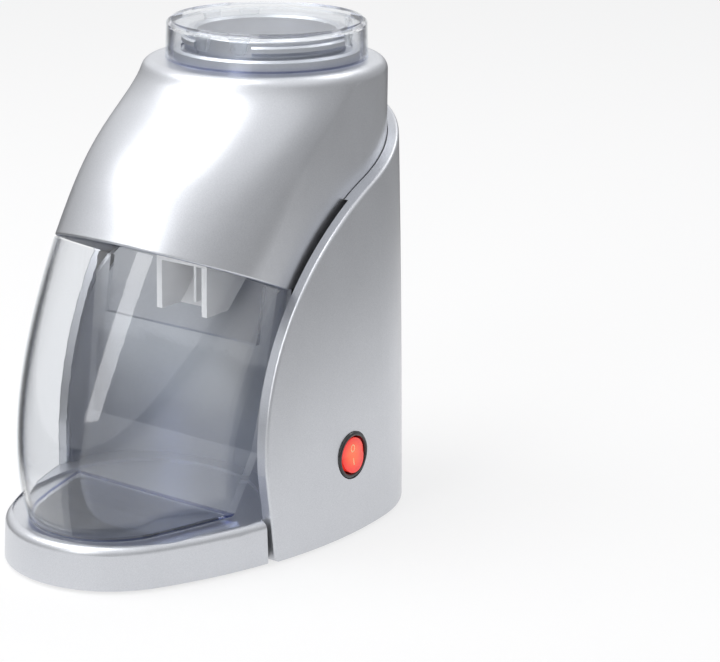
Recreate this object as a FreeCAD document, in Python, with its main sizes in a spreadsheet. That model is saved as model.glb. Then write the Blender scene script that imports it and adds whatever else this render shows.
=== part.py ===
# Electric ice crusher: shells, feed neck, lid, catch bowl, crusher drive and rocker switch.
# Millimetres, +Z up, front towards -Y, origin under the middle of the object on the table.
import FreeCAD, Part
import math
import os
import Sketcher
from FreeCAD import Placement, Rotation, Vector

doc = FreeCAD.newDocument("ice_crusher")


# ---------------------------------------------------------------- sizes

DRIVING_SIZES = [
    # alias, value, what it sets
    ("overall_width", 150.6, "widest line of the rear housing at the table"),
    ("overall_depth", 232.6, "nose of the plinth to the back of the housing"),
    ("overall_height", 240.6, "table to the top of the lid"),
    ("wall", 2.5, "moulded wall of housing, head and plinth"),
    ("clear_wall", 2.2, "wall of the clear bowl and lid"),
    ("side_bow", 228.0, "plan radius of the housing's sides"),
    ("widest_y", 20.0, "where the housing is widest"),
    ("foot_lift", 1.6, "gap under the housing, set by the feet"),
    ("plinth_top", 22.0, "top land of the plinth"),
    ("plinth_round", 4.0, "rounding of the plinth's top edge"),
    ("plinth_setback", 1.2, "plinth side behind the housing side"),
    ("recess_depth", 1.6, "seat of the bowl in the plinth"),
    ("recess_room", 4.6, "room around the bowl's foot, so that it can ride out uphill"),
    ("seam_y", -32.4, "vertical seam between plinth and rear housing"),
    ("seam_gap", 0.9, "gap at that seam"),
    ("rim_face", 5.5, "width of the housing's open rim beside the bowl"),
    ("rim_depth", 3.2, "thickness of the rim flange"),
    ("rim_bend_z", 43.5, "height where the rim starts to sweep back"),
    ("rim_sweep", 137.2, "radius of the sweep"),
    ("rim_rise", 24.2, "slope of the rim behind the sweep, degrees"),
    ("rim_round", 1.5, "rounding of the rim's outer edge"),
    ("rim_close_z", 162.0, "height where the rim closes in on the head"),
    ("head_radius", 58.8, "half width of the head and of the bowl"),
    ("head_back", 6.0, "back of the head ahead of the housing's back"),
    ("head_gap", 0.4, "gap between head and rim"),
    ("head_top", 222.0, "flat top of the head"),
    ("head_round", 6.0, "rounding of that top"),
    ("lip_slope", 22.8, "slope of the head's lower edge, degrees"),
    ("lip_corner_y", -6.3, "rear corner of the lower edge"),
    ("lip_corner_z", 126.5, "height of that corner"),
    ("lip_round", 0.9, "rounding of the head's lower edge"),
    ("lip_gap", 0.8, "gap between the head's edge and the bowl"),
    ("roof_lift", 6.0, "chamber roof above the lower edge"),
    ("bowl_back_z", 50.0, "bowl: lower end of its back wall"),
    ("bowl_back_y", -23.0, "bowl: back wall at that height"),
    ("bowl_back_lean", 10.3, "bowl: lean of the back wall, degrees"),
    ("bowl_heel_y", -34.4, "bowl: front end of the sloping heel"),
    ("bowl_heel_z", 25.2, "bowl: lower end of the sloping heel"),
    ("bowl_notch_z", 100.0, "bowl: top of the back wall under the chute"),
    ("liner_room", 2.2, "chamber's side walls outside the bowl's and head's"),
    ("liner_back", 20.0, "deepest line of the chamber"),
    ("liner_corner", 32.0, "plan radius of the chamber's corners"),
    ("liner_bow", 80.0, "plan radius of the chamber's back"),
    ("liner_wall", 2.0, "wall of the chamber liner"),
    ("collar_radius", 45.2, "ring under the lid"),
    ("collar_height", 5.5, "height of that ring"),
    ("neck_radius", 39.0, "feed neck, outside"),
    ("neck_bore", 34.0, "feed neck, radius of the opening"),
    ("neck_height", 14.0, "neck above the head"),
    ("neck_skirt", 16.0, "neck below the head's top"),
    ("ramp_reach", 2.4, "bayonet ramp, proud of the neck"),
    ("ramp_angle", 74.0, "sweep of each bayonet ramp, degrees"),
    ("lug_deep", 2.0, "thickness of the lid's lugs"),
    ("lug_drop", 9.0, "lid's lugs below the underside of its top"),
    ("lid_radius", 49.3, "lid at its lower edge"),
    ("lid_draft", 0.6, "lid: top radius smaller by this"),
    ("lid_seat_gap", 0.3, "lid above the head"),
    ("crusher_ahead", 23.5, "crusher axis ahead of the head's middle"),
    ("crusher_drop", 58.0, "crusher axis below the head's top"),
    ("drive_room", 33.8, "head's side to the crushing chamber, where the gearbox is"),
    ("blade_reach", 22.0, "tip radius of the crusher blades"),
    ("blade_sheet", 2.0, "thickness of the blades"),
    ("blade_count", 4, "moving blades"),
    ("shaft_radius", 4.0, "crusher shaft"),
    ("spacer_radius", 7.0, "spacers on the shaft"),
    ("running_fit", 0.05, "radial clearance of turning shafts"),
    ("chute_width", 31.0, "ice chute, outside"),
    ("chute_front", -14.0, "front of the chute's side walls"),
    ("chute_end", 107.0, "lower end of the chute"),
    ("chute_wall", 3.2, "wall of the chute"),
    ("fast_module", 1.0, "first gear stage"),
    ("fast_pinion", 12, "teeth on the motor shaft"),
    ("fast_wheel", 42, "teeth of the compound wheel"),
    ("slow_module", 1.5, "second gear stage"),
    ("slow_pinion", 14, "small teeth of the compound wheel"),
    ("slow_wheel", 40, "teeth on the crusher shaft"),
    ("mesh_play", 0.25, "extra centre distance of each stage"),
    ("slow_bearing", -50.0, "crusher to compound wheel, degrees"),
    ("fast_bearing", -65.0, "compound wheel to motor, degrees"),
    ("motor_radius", 22.0, "motor can"),
    ("motor_length", 54.0, "motor can"),
    ("switch_y", 24.7, "rocker switch"),
    ("switch_z", 40.5, "rocker switch"),
    ("switch_radius", 11.5, "bezel of the rocker switch"),
    ("switch_hole", 10.0, "panel hole of the rocker switch"),
    ("rocker_radius", 8.5, "rocker"),
    ("plate_sheet", 2.4, "bottom plate"),
    ("cord_bore", 3.2, "radius of the cord hole in the gland"),
]


class Size:
    """A length or angle together with the spreadsheet expression it comes from."""

    def __init__(self, value, text, driven=True):
        self.value = float(value)
        self.text = text
        self.driven = driven

    def _join(self, sign, other, result):
        other = size(other)
        return Size(result, "(%s %s %s)" % (self.text, sign, other.text), self.driven or other.driven)

    def __add__(self, other):
        return self._join("+", other, self.value + size(other).value)

    def __sub__(self, other):
        return self._join("-", other, self.value - size(other).value)

    def __mul__(self, other):
        return self._join("*", other, self.value * size(other).value)

    def __truediv__(self, other):
        return self._join("/", other, self.value / size(other).value)

    def __radd__(self, other):
        return size(other) + self

    def __rsub__(self, other):
        return size(other) - self

    def __rmul__(self, other):
        return size(other) * self

    def __rtruediv__(self, other):
        return size(other) / self

    def __neg__(self):
        return size(0) - self


def size(value):
    if isinstance(value, Size):
        return value
    return Size(value, "(%s)" % repr(float(value)), driven=False)


def root(value):
    return Size(math.sqrt(value.value), "sqrt(%s)" % value.text)


def sine(angle):
    return Size(math.sin(math.radians(angle.value)), "sin(%s * 1 deg)" % angle.text)


def cosine(angle):
    return Size(math.cos(math.radians(angle.value)), "cos(%s * 1 deg)" % angle.text)


def tangent(angle):
    return Size(math.tan(math.radians(angle.value)), "tan(%s * 1 deg)" % angle.text)


def make_sheet():
    sheet = doc.addObject("Spreadsheet::Sheet", "sizes")
    named = {}
    for row, (alias, value, note) in enumerate(DRIVING_SIZES, start=1):
        sheet.set("A%d" % row, note)
        sheet.set("B%d" % row, str(value))
        sheet.setAlias("B%d" % row, alias)
        named[alias] = Size(value, "sizes." + alias)
    doc.recompute()
    return named


D = make_sheet()

# places that follow from the driving sizes
half_width = D["overall_width"] / 2
front_y = -D["overall_depth"] / 2
rear_y = D["overall_depth"] / 2
head_y = rear_y - D["head_back"] - D["head_radius"]
crusher_z = D["head_top"] - D["crusher_drop"]
crusher_width = (D["head_radius"] - D["drive_room"]) * 2
seat_z = D["plinth_top"] - D["recess_depth"]
top_z = D["head_top"] - 22
EXTENT = D["overall_width"] * 2


# ---------------------------------------------------------------- small tools

def bind(item, prop, value):
    """Ties a property to the spreadsheet, or sets it if the value has no driving size."""
    value = size(value)
    if value.driven:
        item.setExpression(prop, value.text)
    else:
        owner = item
        names = prop.split(".")
        if len(names) == 1:
            setattr(owner, prop, value.value)
        else:
            item.setExpression(prop, value.text)


def hold(sketch, kind, *rest):
    """Adds a dimension to a sketch, tied to the spreadsheet."""
    value = size(rest[-1])
    index = sketch.addConstraint(Sketcher.Constraint(kind, *rest[:-1], value.value))
    if value.driven:
        sketch.setExpression("Constraints[%d]" % index, value.text)


PLANES = {
    "XY": Rotation(),
    "YZ": Rotation(Vector(1, 1, 1), 120),
    "XZ": Rotation(Vector(1, 0, 0), 90),
}


def free_sketch(name, plane="XY", offset=0):
    """A sketch in the document, for lofts and extrusions made with Part."""
    sketch = doc.addObject("Sketcher::SketchObject", name)
    sketch.Placement = Placement(Vector(), PLANES[plane])
    axis, sign = {"XY": ("z", 1), "YZ": ("x", 1), "XZ": ("y", 1)}[plane]
    bind(sketch, "Placement.Base." + axis, size(offset) * sign)
    return sketch


def body_sketch(body, name, plane="XY", offset=0, turn=0):
    """A sketch on one of a body's own planes, moved along the plane's normal."""
    sketch = body.newObject("Sketcher::SketchObject", name)
    origin = [item for item in body.Origin.OriginFeatures if item.Role == plane + "_Plane"][0]
    sketch.AttachmentSupport = (origin, [""])
    sketch.MapMode = "FlatFace"
    sketch.AttachmentOffset = Placement(Vector(), Rotation(Vector(0, 0, 1), 1))
    bind(sketch, "AttachmentOffset.Rotation.Angle", turn)
    bind(sketch, "AttachmentOffset.Base.z", offset)
    return sketch


def polygon(sketch, points):
    """A closed outline; every corner is dimensioned from the origin."""
    first = sketch.GeometryCount
    count = len(points)
    corners = [(size(across), size(up)) for across, up in points]
    for index in range(count):
        start = Vector(corners[index][0].value, corners[index][1].value, 0)
        end = corners[(index + 1) % count]
        sketch.addGeometry(Part.LineSegment(start, Vector(end[0].value, end[1].value, 0)), False)
    for index in range(count):
        following = first + (index + 1) % count
        sketch.addConstraint(Sketcher.Constraint("Coincident", first + index, 2, following, 1))
    for index, (across, up) in enumerate(corners):
        hold(sketch, "DistanceX", -1, 1, first + index, 1, across)
        hold(sketch, "DistanceY", -1, 1, first + index, 1, up)


def rectangle(sketch, left, right, low, high):
    polygon(sketch, [(left, low), (right, low), (right, high), (left, high)])


def circle(sketch, across, up, radius):
    across, up, radius = size(across), size(up), size(radius)
    centre = Vector(across.value, up.value, 0)
    index = sketch.addGeometry(Part.Circle(centre, Vector(0, 0, 1), radius.value), False)
    hold(sketch, "DistanceX", -1, 1, index, 3, across)
    hold(sketch, "DistanceY", -1, 1, index, 3, up)
    hold(sketch, "Radius", index, radius)


def arc(sketch, centre, radius, start, end):
    span = Part.ArcOfCircle(Part.Circle(Vector(*centre, 0), Vector(0, 0, 1), radius), start, end)
    return sketch.addGeometry(span, False)


def plan_outline(sketch, half, front, rear, bow, widest):
    """Four tangent arcs: nose, right side, back and left side.

    The sides have the radius bow and are widest at y = widest; nose and back are then fixed
    by their distance from the origin.
    """
    inset = bow - half
    ahead = bow + front
    nose_y = (ahead * ahead - inset * inset - widest * widest) / (2 * (ahead - widest))
    nose_radius = nose_y - front
    behind = bow - rear
    back_y = (inset * inset + widest * widest - behind * behind) / (2 * (behind + widest))
    back_radius = rear - back_y
    side = (-inset.value, widest.value)
    low = math.atan2(nose_y.value - side[1], -side[0])
    high = math.atan2(back_y.value - side[1], -side[0])
    nose = arc(sketch, (0, nose_y.value), nose_radius.value, -math.pi - low, low)
    right = arc(sketch, side, bow.value, low, high)
    back = arc(sketch, (0, back_y.value), back_radius.value, high, math.pi - high)
    left = arc(sketch, (-side[0], side[1]), bow.value, math.pi - high, math.pi - low)
    for one, other in ((nose, right), (right, back), (back, left), (left, nose)):
        sketch.addConstraint(Sketcher.Constraint("Tangent", one, 2, other, 1))
    for index, across in ((right, -inset), (left, inset)):
        hold(sketch, "DistanceX", -1, 1, index, 3, across)
        hold(sketch, "DistanceY", -1, 1, index, 3, widest)
        hold(sketch, "Radius", index, bow)
    hold(sketch, "DistanceY", -1, 1, nose, 3, nose_y)
    hold(sketch, "DistanceY", -1, 1, back, 3, back_y)


def loft(name, sections):
    solid = doc.addObject("Part::Loft", name)
    solid.Sections = sections
    solid.Solid = True
    solid.Ruled = False
    return solid


def extrude(name, profile, length, symmetric=False):
    solid = doc.addObject("Part::Extrusion", name)
    solid.Base = profile
    solid.DirMode = "Normal"
    bind(solid, "LengthFwd", length)
    solid.Solid = True
    solid.Symmetric = symmetric
    return solid


def grown(name, profile, distance):
    """The outline of a flat profile, moved outwards by a distance."""
    flat = doc.addObject("Part::Offset2D", name)
    flat.Source = profile
    bind(flat, "Value", distance)
    flat.Join = 0
    return flat


def cut(name, base, *tools):
    for count, tool in enumerate(tools, start=1):
        last = count == len(tools)
        item = doc.addObject("Part::Cut", name if last else "%s_cut%d" % (name, count))
        item.Base = base
        item.Tool = tool
        base = item
    return base


def fuse(name, *items):
    item = doc.addObject("Part::MultiFuse", name)
    item.Shapes = list(items)
    return item


def common(name, one, other):
    item = doc.addObject("Part::Common", name)
    item.Base = one
    item.Tool = other
    return item


def cylinder(name, radius, length, x=0, y=0, z=0, along="z"):
    """A cylinder that starts at x, y, z and runs along +X, +Y or +Z."""
    item = doc.addObject("Part::Cylinder", name)
    bind(item, "Radius", radius)
    bind(item, "Height", length)
    turn = {"z": Rotation(), "x": Rotation(Vector(0, 1, 0), 90), "y": Rotation(Vector(1, 0, 0), -90)}
    item.Placement = Placement(Vector(), turn[along])
    bind(item, "Placement.Base.x", x)
    bind(item, "Placement.Base.y", y)
    bind(item, "Placement.Base.z", z)
    return item


def box(name, x, y, z, length, width, height):
    item = doc.addObject("Part::Box", name)
    bind(item, "Length", length)
    bind(item, "Width", width)
    bind(item, "Height", height)
    bind(item, "Placement.Base.x", x)
    bind(item, "Placement.Base.y", y)
    bind(item, "Placement.Base.z", z)
    return item


def rounded(name, base, radius, chosen):
    """Fillets the edges of base for which chosen(edge) holds."""
    doc.recompute()
    item = doc.addObject("Part::Fillet", name)
    item.Base = base
    picked = [index for index, edge in enumerate(base.Shape.Edges, start=1) if chosen(edge)]
    item.Edges = [(index, size(radius).value, size(radius).value) for index in picked]
    return item


def on_both(one, other):
    """Chooses the edges that lie on the surfaces of two solids."""
    def chosen(edge):
        span = edge.LastParameter - edge.FirstParameter
        spots = [Part.Vertex(edge.valueAt(edge.FirstParameter + span * share))
                 for share in (0.2, 0.5, 0.8)]
        return all(spot.distToShape(item.Shape.Shells[0])[0] < 0.01
                   for item in (one, other) for spot in spots)
    return chosen


PARTS = []


def finish(label, item):
    """Keeps an object as a sub-part: its label names its file."""
    item.Label = label
    PARTS.append(item)
    return item


def new_body(label):
    return finish(label, doc.addObject("PartDesign::Body", label))


def pad(body, sketch, length, symmetric=False):
    feature = body.newObject("PartDesign::Pad", sketch.Name + "_pad")
    feature.Profile = sketch
    bind(feature, "Length", length)
    if symmetric:
        feature.SideType = "Symmetric"
    return feature


def pocket_all(body, sketch):
    """Cuts a sketch right through the body, both ways."""
    feature = body.newObject("PartDesign::Pocket", sketch.Name + "_pocket")
    feature.Profile = sketch
    feature.Type = "ThroughAll"
    feature.SideType = "Symmetric"
    return feature


def turned(body, name, profile, angle=360):
    """Revolves a half profile of (radius, height) points about the body's Z axis."""
    sketch = body_sketch(body, name, "XZ")
    polygon(sketch, profile)
    feature = body.newObject("PartDesign::Revolution", name + "_turn")
    feature.Profile = sketch
    feature.ReferenceAxis = (sketch, ["V_Axis"])
    feature.Angle = angle
    return feature


def ring_pattern(body, features, axis, count):
    pattern = body.newObject("PartDesign::PolarPattern", features[-1].Name + "_ring")
    pattern.Originals = features
    line = [item for item in body.Origin.OriginFeatures if item.Role == axis + "_Axis"][0]
    pattern.Axis = (line, [""])
    pattern.Angle = 360
    if isinstance(count, Size):
        bind(pattern, "Occurrences", count)
    else:
        pattern.Occurrences = count
    body.Tip = pattern
    return pattern


def move(item, x=0, y=0, z=0):
    bind(item, "Placement.Base.x", x)
    bind(item, "Placement.Base.y", y)
    bind(item, "Placement.Base.z", z)


# ---------------------------------------------------------------- outer forms

def housing_loft(name, inset, spread=0):
    """The rear housing's outer form, or the same form moved inwards."""
    sections = []
    stations = [
        # height, then how much narrower, shorter in front and shorter behind, and the widest line
        (D["foot_lift"] - spread, size(0), size(0), size(0), D["widest_y"]),
        (top_z / 2, size(4.6), size(20), size(0.2), D["widest_y"] + 12),
        (top_z + spread, size(11.1), size(60), size(0.8), head_y - 1),
    ]
    for index, (height, narrower, behind, nearer, widest) in enumerate(stations):
        sketch = free_sketch("%s_%d" % (name, index), "XY", height)
        plan_outline(sketch, half_width - narrower - inset, front_y + behind + inset,
                     rear_y - nearer - inset, D["side_bow"] - inset, widest)
        sections.append(sketch)
    return loft(name, sections)


# height above the bowl's foot, reach ahead of the round and side radius, up to the head's top
FORM_TALL = 201.6
FORM_REACH = 108.7
FORM_STATIONS = [
    (0, 97.6, 400), (29.6, 102.0, 520), (64.6, 94.8, 800), (99.6, 80.4, 1600),
    (129.6, 64.9, 2000), (159.6, 43.9, 2000), (179.6, 21.9, 900), (191.6, 7.6, 400),
    (FORM_TALL, 1.1, 200),
]


def form_loft(name, inset, low, high):
    """The continuous form of bowl and head between two stations, or the same moved inwards."""
    sections = []
    round_front = head_y - D["head_radius"]
    for index, (height, reach, bow) in enumerate(FORM_STATIONS[low:high]):
        rise = seat_z + (D["head_top"] - seat_z) * (height / FORM_TALL)
        sketch = free_sketch("%s_%d" % (name, index), "XY", rise)
        front = round_front + (front_y - round_front) * ((reach + 0.3) / FORM_REACH)
        plan_outline(sketch, D["head_radius"] - inset, front + inset,
                     head_y + D["head_radius"] - inset, size(bow) - inset, head_y)
        sections.append(sketch)
    return loft(name, sections)


def lip_z(y, lift=0):
    """Height of the head's sloping lower edge at y, moved square to it by lift."""
    slope = tangent(D["lip_slope"])
    return D["lip_corner_z"] + slope * (D["lip_corner_y"] - y) + size(lift) / cosine(D["lip_slope"])


def rim_cutter(name, setback):
    """Everything in front of the sweeping rim, moved back by setback, as a block."""
    sketch = free_sketch(name + "_profile", "YZ")
    radius = D["rim_sweep"] - setback
    centre_y = D["seam_y"] + D["rim_sweep"]
    centre_z = D["rim_bend_z"]
    slope = D["rim_rise"]
    bend = (centre_y - radius, centre_z)
    end = (centre_y - radius * sine(slope), centre_z + radius * cosine(slope))
    back_z = end[1] + (rear_y + 20 - end[0]) * tangent(slope)
    foot = (D["seam_y"] + 3 + setback, size(-5))
    corners = [end, (rear_y + 20, back_z), (rear_y + 20, D["overall_height"] + 40),
               (front_y * 2, D["overall_height"] + 40), (front_y * 2, size(-5)), foot, bend]
    for index in range(len(corners) - 1):
        start, stop = corners[index], corners[index + 1]
        line = Part.LineSegment(Vector(start[0].value, start[1].value, 0),
                                Vector(size(stop[0]).value, size(stop[1]).value, 0))
        sketch.addGeometry(line, False)
    turn = math.radians(slope.value)
    sweep = arc(sketch, (centre_y.value, centre_z.value), radius.value, math.pi / 2 + turn, math.pi)
    count = len(corners) - 1
    for index in range(count - 1):
        sketch.addConstraint(Sketcher.Constraint("Coincident", index, 2, index + 1, 1))
    sketch.addConstraint(Sketcher.Constraint("Coincident", count - 1, 2, sweep, 2))
    sketch.addConstraint(Sketcher.Constraint("Coincident", sweep, 1, 0, 1))
    for index in range(count):
        hold(sketch, "DistanceX", -1, 1, index, 1, corners[index][0])
        hold(sketch, "DistanceY", -1, 1, index, 1, corners[index][1])
    hold(sketch, "DistanceX", -1, 1, sweep, 3, centre_y)
    hold(sketch, "DistanceY", -1, 1, sweep, 3, centre_z)
    hold(sketch, "DistanceY", -1, 1, sweep, 2, bend[1])
    return extrude(name, sketch, EXTENT, symmetric=True)


def heel_cutter(name, inset):
    """Everything behind the bowl's back wall and below its sloping heel, as a block."""
    sketch = free_sketch(name + "_profile", "YZ")
    lean = tangent(D["bowl_back_lean"])
    back_y = D["bowl_back_y"] - inset
    low_z = D["bowl_back_z"] + inset / 2
    high_z = D["head_top"]
    heel_slope = (D["bowl_back_z"] - D["bowl_heel_z"]) / (D["bowl_back_y"] - D["bowl_heel_y"])
    foot_y = D["bowl_heel_y"] - inset - 40 / heel_slope
    foot_z = D["bowl_heel_z"] + inset / 2 - 40
    polygon(sketch, [(back_y, low_z), (back_y + lean * (high_z - low_z), high_z),
                     (rear_y + 20, high_z), (rear_y + 20, foot_z), (foot_y, foot_z)])
    return extrude(name, sketch, EXTENT, symmetric=True)


def lip_cutter(name, lift, behind=None):
    """Everything above the head's lower edge moved by lift, as a block."""
    sketch = free_sketch(name + "_profile", "YZ")
    ahead = front_y * 1.5
    after = rear_y if behind is None else behind
    polygon(sketch, [(ahead, lip_z(ahead, lift)), (after, lip_z(after, lift)),
                     (after, D["overall_height"] + 60), (ahead, D["overall_height"] + 60)])
    return extrude(name, sketch, EXTENT, symmetric=True)


def liner_outline(sketch, spread, front):
    """The U of the ice chamber in plan: straight sides, round corners and a bowed back."""
    half = D["head_radius"] + D["liner_room"] + spread
    corner = D["liner_corner"] + spread
    bow = D["liner_bow"] + spread
    back = D["liner_back"] + spread
    bow_y = back - bow
    corner_x = half - corner
    corner_y = bow_y + root((bow - corner) * (bow - corner) - corner_x * corner_x)
    turn = math.atan2(corner_y.value - bow_y.value, corner_x.value)
    points = [Vector(-half.value, corner_y.value, 0), Vector(-half.value, front.value, 0),
              Vector(half.value, front.value, 0), Vector(half.value, corner_y.value, 0)]
    for start, end in zip(points[:-1], points[1:]):
        sketch.addGeometry(Part.LineSegment(start, end), False)
    right = arc(sketch, (corner_x.value, corner_y.value), corner.value, 0, turn)
    back_arc = arc(sketch, (0, bow_y.value), bow.value, turn, math.pi - turn)
    left = arc(sketch, (-corner_x.value, corner_y.value), corner.value, math.pi - turn, math.pi)
    for one, other in ((0, 1), (1, 2)):
        sketch.addConstraint(Sketcher.Constraint("Coincident", one, 2, other, 1))
    for one, other in ((2, right), (right, back_arc), (back_arc, left), (left, 0)):
        sketch.addConstraint(Sketcher.Constraint("Tangent", one, 2, other, 1))
    hold(sketch, "DistanceX", -1, 1, 1, 1, -half)
    hold(sketch, "DistanceY", -1, 1, 1, 1, front)
    hold(sketch, "DistanceX", -1, 1, 1, 2, half)
    hold(sketch, "DistanceY", -1, 1, 1, 2, front)
    hold(sketch, "DistanceX", -1, 1, right, 3, corner_x)
    hold(sketch, "DistanceX", -1, 1, left, 3, -corner_x)
    hold(sketch, "DistanceX", -1, 1, back_arc, 3, 0)
    hold(sketch, "DistanceY", -1, 1, back_arc, 3, bow_y)
    hold(sketch, "Radius", back_arc, bow)


# ---------------------------------------------------------------- shells

# the turning axes, all along X
slow_distance = D["slow_module"] * (D["slow_pinion"] + D["slow_wheel"]) / 2 + D["mesh_play"]
fast_distance = D["fast_module"] * (D["fast_pinion"] + D["fast_wheel"]) / 2 + D["mesh_play"]
crusher_axis = (head_y - D["crusher_ahead"], crusher_z)
compound_axis = (crusher_axis[0] + slow_distance * cosine(D["slow_bearing"]),
                 crusher_axis[1] + slow_distance * sine(D["slow_bearing"]))
motor_axis = (compound_axis[0] + fast_distance * cosine(D["fast_bearing"]),
              compound_axis[1] + fast_distance * sine(D["fast_bearing"]))

# planes along X of the drive, on the left side
chamber_half = crusher_width / 2 + D["wall"]
plate_out = chamber_half + 2.5
gear_start = plate_out + 2.5
slow_face = size(8)
wheel_start = gear_start + slow_face + 1
wheel_face = size(6)
cover_slow = gear_start + slow_face + 1.5
cover_fast = wheel_start + wheel_face + 1.5
cover_wall = size(2)

# the base: bosses shared by plinth, housing and bottom plate
boss_radius = size(4.2)
base_bosses = [(half_width - 9.5, size(10)), (-(half_width - 9.5), size(10)),
               (size(34), rear_y - 22), (size(-34), rear_y - 22)]
nose_bosses = [(size(30), front_y + 35), (size(-30), front_y + 35)]
screw_radius = size(1.75)
plate_top = D["foot_lift"] + D["plate_sheet"]


def make_rear_housing():
    outer = housing_loft("housing_outer", size(0))
    cavity = housing_loft("housing_inner", D["wall"], size(1))
    rim_inner = housing_loft("housing_rim_inner", D["rim_face"], size(1))
    edge = rim_cutter("rim_edge", size(0))
    flange = rim_cutter("rim_flange", D["rim_depth"])
    collar_sketch = free_sketch("rim_collar_profile", "XY", D["lip_corner_z"] - 3)
    collar_radius = D["head_radius"] + D["head_gap"]
    plan_outline(collar_sketch, collar_radius, front_y, head_y + collar_radius, size(2000), head_y)
    head_room = extrude("rim_collar", collar_sketch, D["overall_height"] - 20)
    above = box("rim_above", -EXTENT / 2, front_y * 2, D["rim_close_z"],
                EXTENT, D["overall_depth"] * 3, D["overall_height"])
    below_rim = cut("rim_inner_low", rim_inner, above)
    behind = cut("housing_behind_rim", cavity, flange)
    doc.recompute()
    smooth = rounded("rim_rounded", cut("housing_front", outer, edge), D["rim_round"],
                     on_both(outer, edge))
    shell = cut("housing_shell", smooth, behind, below_rim, head_room)
    posts = [cylinder("housing_boss_%d" % index, boss_radius, size(17), across, along, plate_top)
             for index, (across, along) in enumerate(base_bosses)]
    webs = [box("housing_web_0", half_width - 9.5, 9, plate_top, 12, 2, 17),
            box("housing_web_1", -(half_width + 2.5), 9, plate_top, 12, 2, 17),
            box("housing_web_2", 33, rear_y - 22, plate_top, 2, 24, 17),
            box("housing_web_3", -35, rear_y - 22, plate_top, 2, 24, 17)]
    inside = common("housing_bosses", fuse("housing_posts", *(posts + webs)), outer)
    whole = fuse("housing_with_bosses", shell, inside)
    pilots = [cylinder("housing_pilot_%d" % index, screw_radius, 14, across, along, plate_top - 1)
              for index, (across, along) in enumerate(base_bosses)]
    seat = cylinder("switch_seat", D["switch_radius"] + 0.25, 20, switch_seat_x, D["switch_y"],
                    D["switch_z"], "x")
    hole = cylinder("switch_panel_hole", D["switch_hole"] + 0.15, 40, half_width - 30, D["switch_y"],
                    D["switch_z"], "x")
    cord = cylinder("cord_hole", gland_neck + 0.1, 30, 0, rear_y - 20, gland_z, "y")
    return finish("rear_housing", cut("rear_housing_solid", whole, *(pilots + [seat, hole, cord])))


switch_seat_x = half_width - 3.1
gland_z = size(24)
gland_neck = size(5)


def make_head():
    outer = form_loft("head_outer", size(0), 3, 9)
    top = D["head_top"].value
    inner = form_loft("head_inner", D["wall"], 3, 9)
    move(inner, z=-D["wall"])
    under = free_sketch("head_under_profile", "YZ")
    corner_y, corner_z = D["lip_corner_y"], D["lip_corner_z"]
    polygon(under, [(front_y * 1.5, lip_z(front_y * 1.5)), (corner_y, corner_z),
                    (corner_y + 14, corner_z), (rear_y + 20, top_z - 6), (rear_y + 20, 0),
                    (front_y * 1.5, 0)])
    below = extrude("head_under", under, EXTENT, symmetric=True)
    block = cut("head_block", outer, below)
    doc.recompute()
    lip_edge = on_both(outer, below)
    edge_y = corner_y.value + 1
    lipped = rounded("head_lip_rounded", block, D["lip_round"],
                     lambda edge: lip_edge(edge) and edge.BoundBox.YMax < edge_y)
    smooth = rounded("head_rounded", lipped, D["head_round"],
                     lambda edge: all(abs(v.Z - top) < 0.01 for v in edge.Vertexes))
    bore = cylinder("head_bore", D["neck_radius"] - 1.2, 30, 0, head_y, D["head_top"] - 15)
    return finish("head_housing", cut("head_solid", smooth, inner, bore))


def make_bowl():
    outer = form_loft("bowl_outer", size(0), 0, 7)
    above = lip_cutter("bowl_above", -D["lip_gap"])
    heel = heel_cutter("bowl_heel", size(0))
    block = cut("bowl_block", outer, above, heel)
    floor = seat_z.value
    smooth = rounded("bowl_rounded", block, 3,
                     lambda edge: all(abs(v.Z - floor) < 0.01 for v in edge.Vertexes))
    inner = form_loft("bowl_inner", D["clear_wall"], 0, 7)
    floor_room = box("bowl_floor_room", -EXTENT / 2, front_y * 2, 0, EXTENT, D["overall_depth"] * 3,
                     seat_z + D["clear_wall"])
    heel_inner = heel_cutter("bowl_heel_inner", D["clear_wall"] * 1.2)
    hollow = cut("bowl_hollow", inner, floor_room, heel_inner)
    notch = box("bowl_notch", -D["head_radius"] + 12, D["bowl_back_y"] - 4, D["bowl_notch_z"],
                D["head_radius"] * 2 - 24, 40, D["head_top"])
    return finish("ice_bowl", cut("bowl_solid", smooth, hollow, notch))


def make_liner():
    outside = free_sketch("liner_outside", "XY", D["plinth_top"])
    liner_outline(outside, D["liner_wall"], D["seam_y"] - 20)
    inside = free_sketch("liner_inside", "XY", D["plinth_top"])
    liner_outline(inside, size(0), D["seam_y"] - 30)
    tall = D["head_top"] - D["plinth_top"]
    walls = cut("liner_walls", extrude("liner_block", outside, tall),
                extrude("liner_room", inside, tall))
    edge = rim_cutter("liner_edge", D["rim_depth"])
    above = lip_cutter("liner_above", D["roof_lift"] - 0.2)
    return finish("chamber_liner", cut("liner_solid", walls, edge, above))


def make_roof():
    """Sloping ceiling inside the head, with a slot for the chute."""
    outer = form_loft("roof_outer", D["wall"] + 0.3, 3, 7)
    move(outer, z=-D["wall"])
    above = lip_cutter("roof_above", D["roof_lift"] + 2)
    keep = lip_cutter("roof_keep", D["roof_lift"])
    slab = cut("roof_slab", common("roof_upper", outer, keep), above)
    behind = box("roof_behind", -EXTENT / 2, D["liner_back"] + D["liner_wall"], 0, EXTENT,
                 D["overall_depth"], D["overall_height"])
    slot = box("roof_slot", -(D["chute_width"] / 2 + 0.4), D["chute_front"] - 0.5, 0,
               D["chute_width"] + 0.8, 60, D["overall_height"])
    return finish("chamber_roof", cut("roof_solid", slab, behind, slot))


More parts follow.
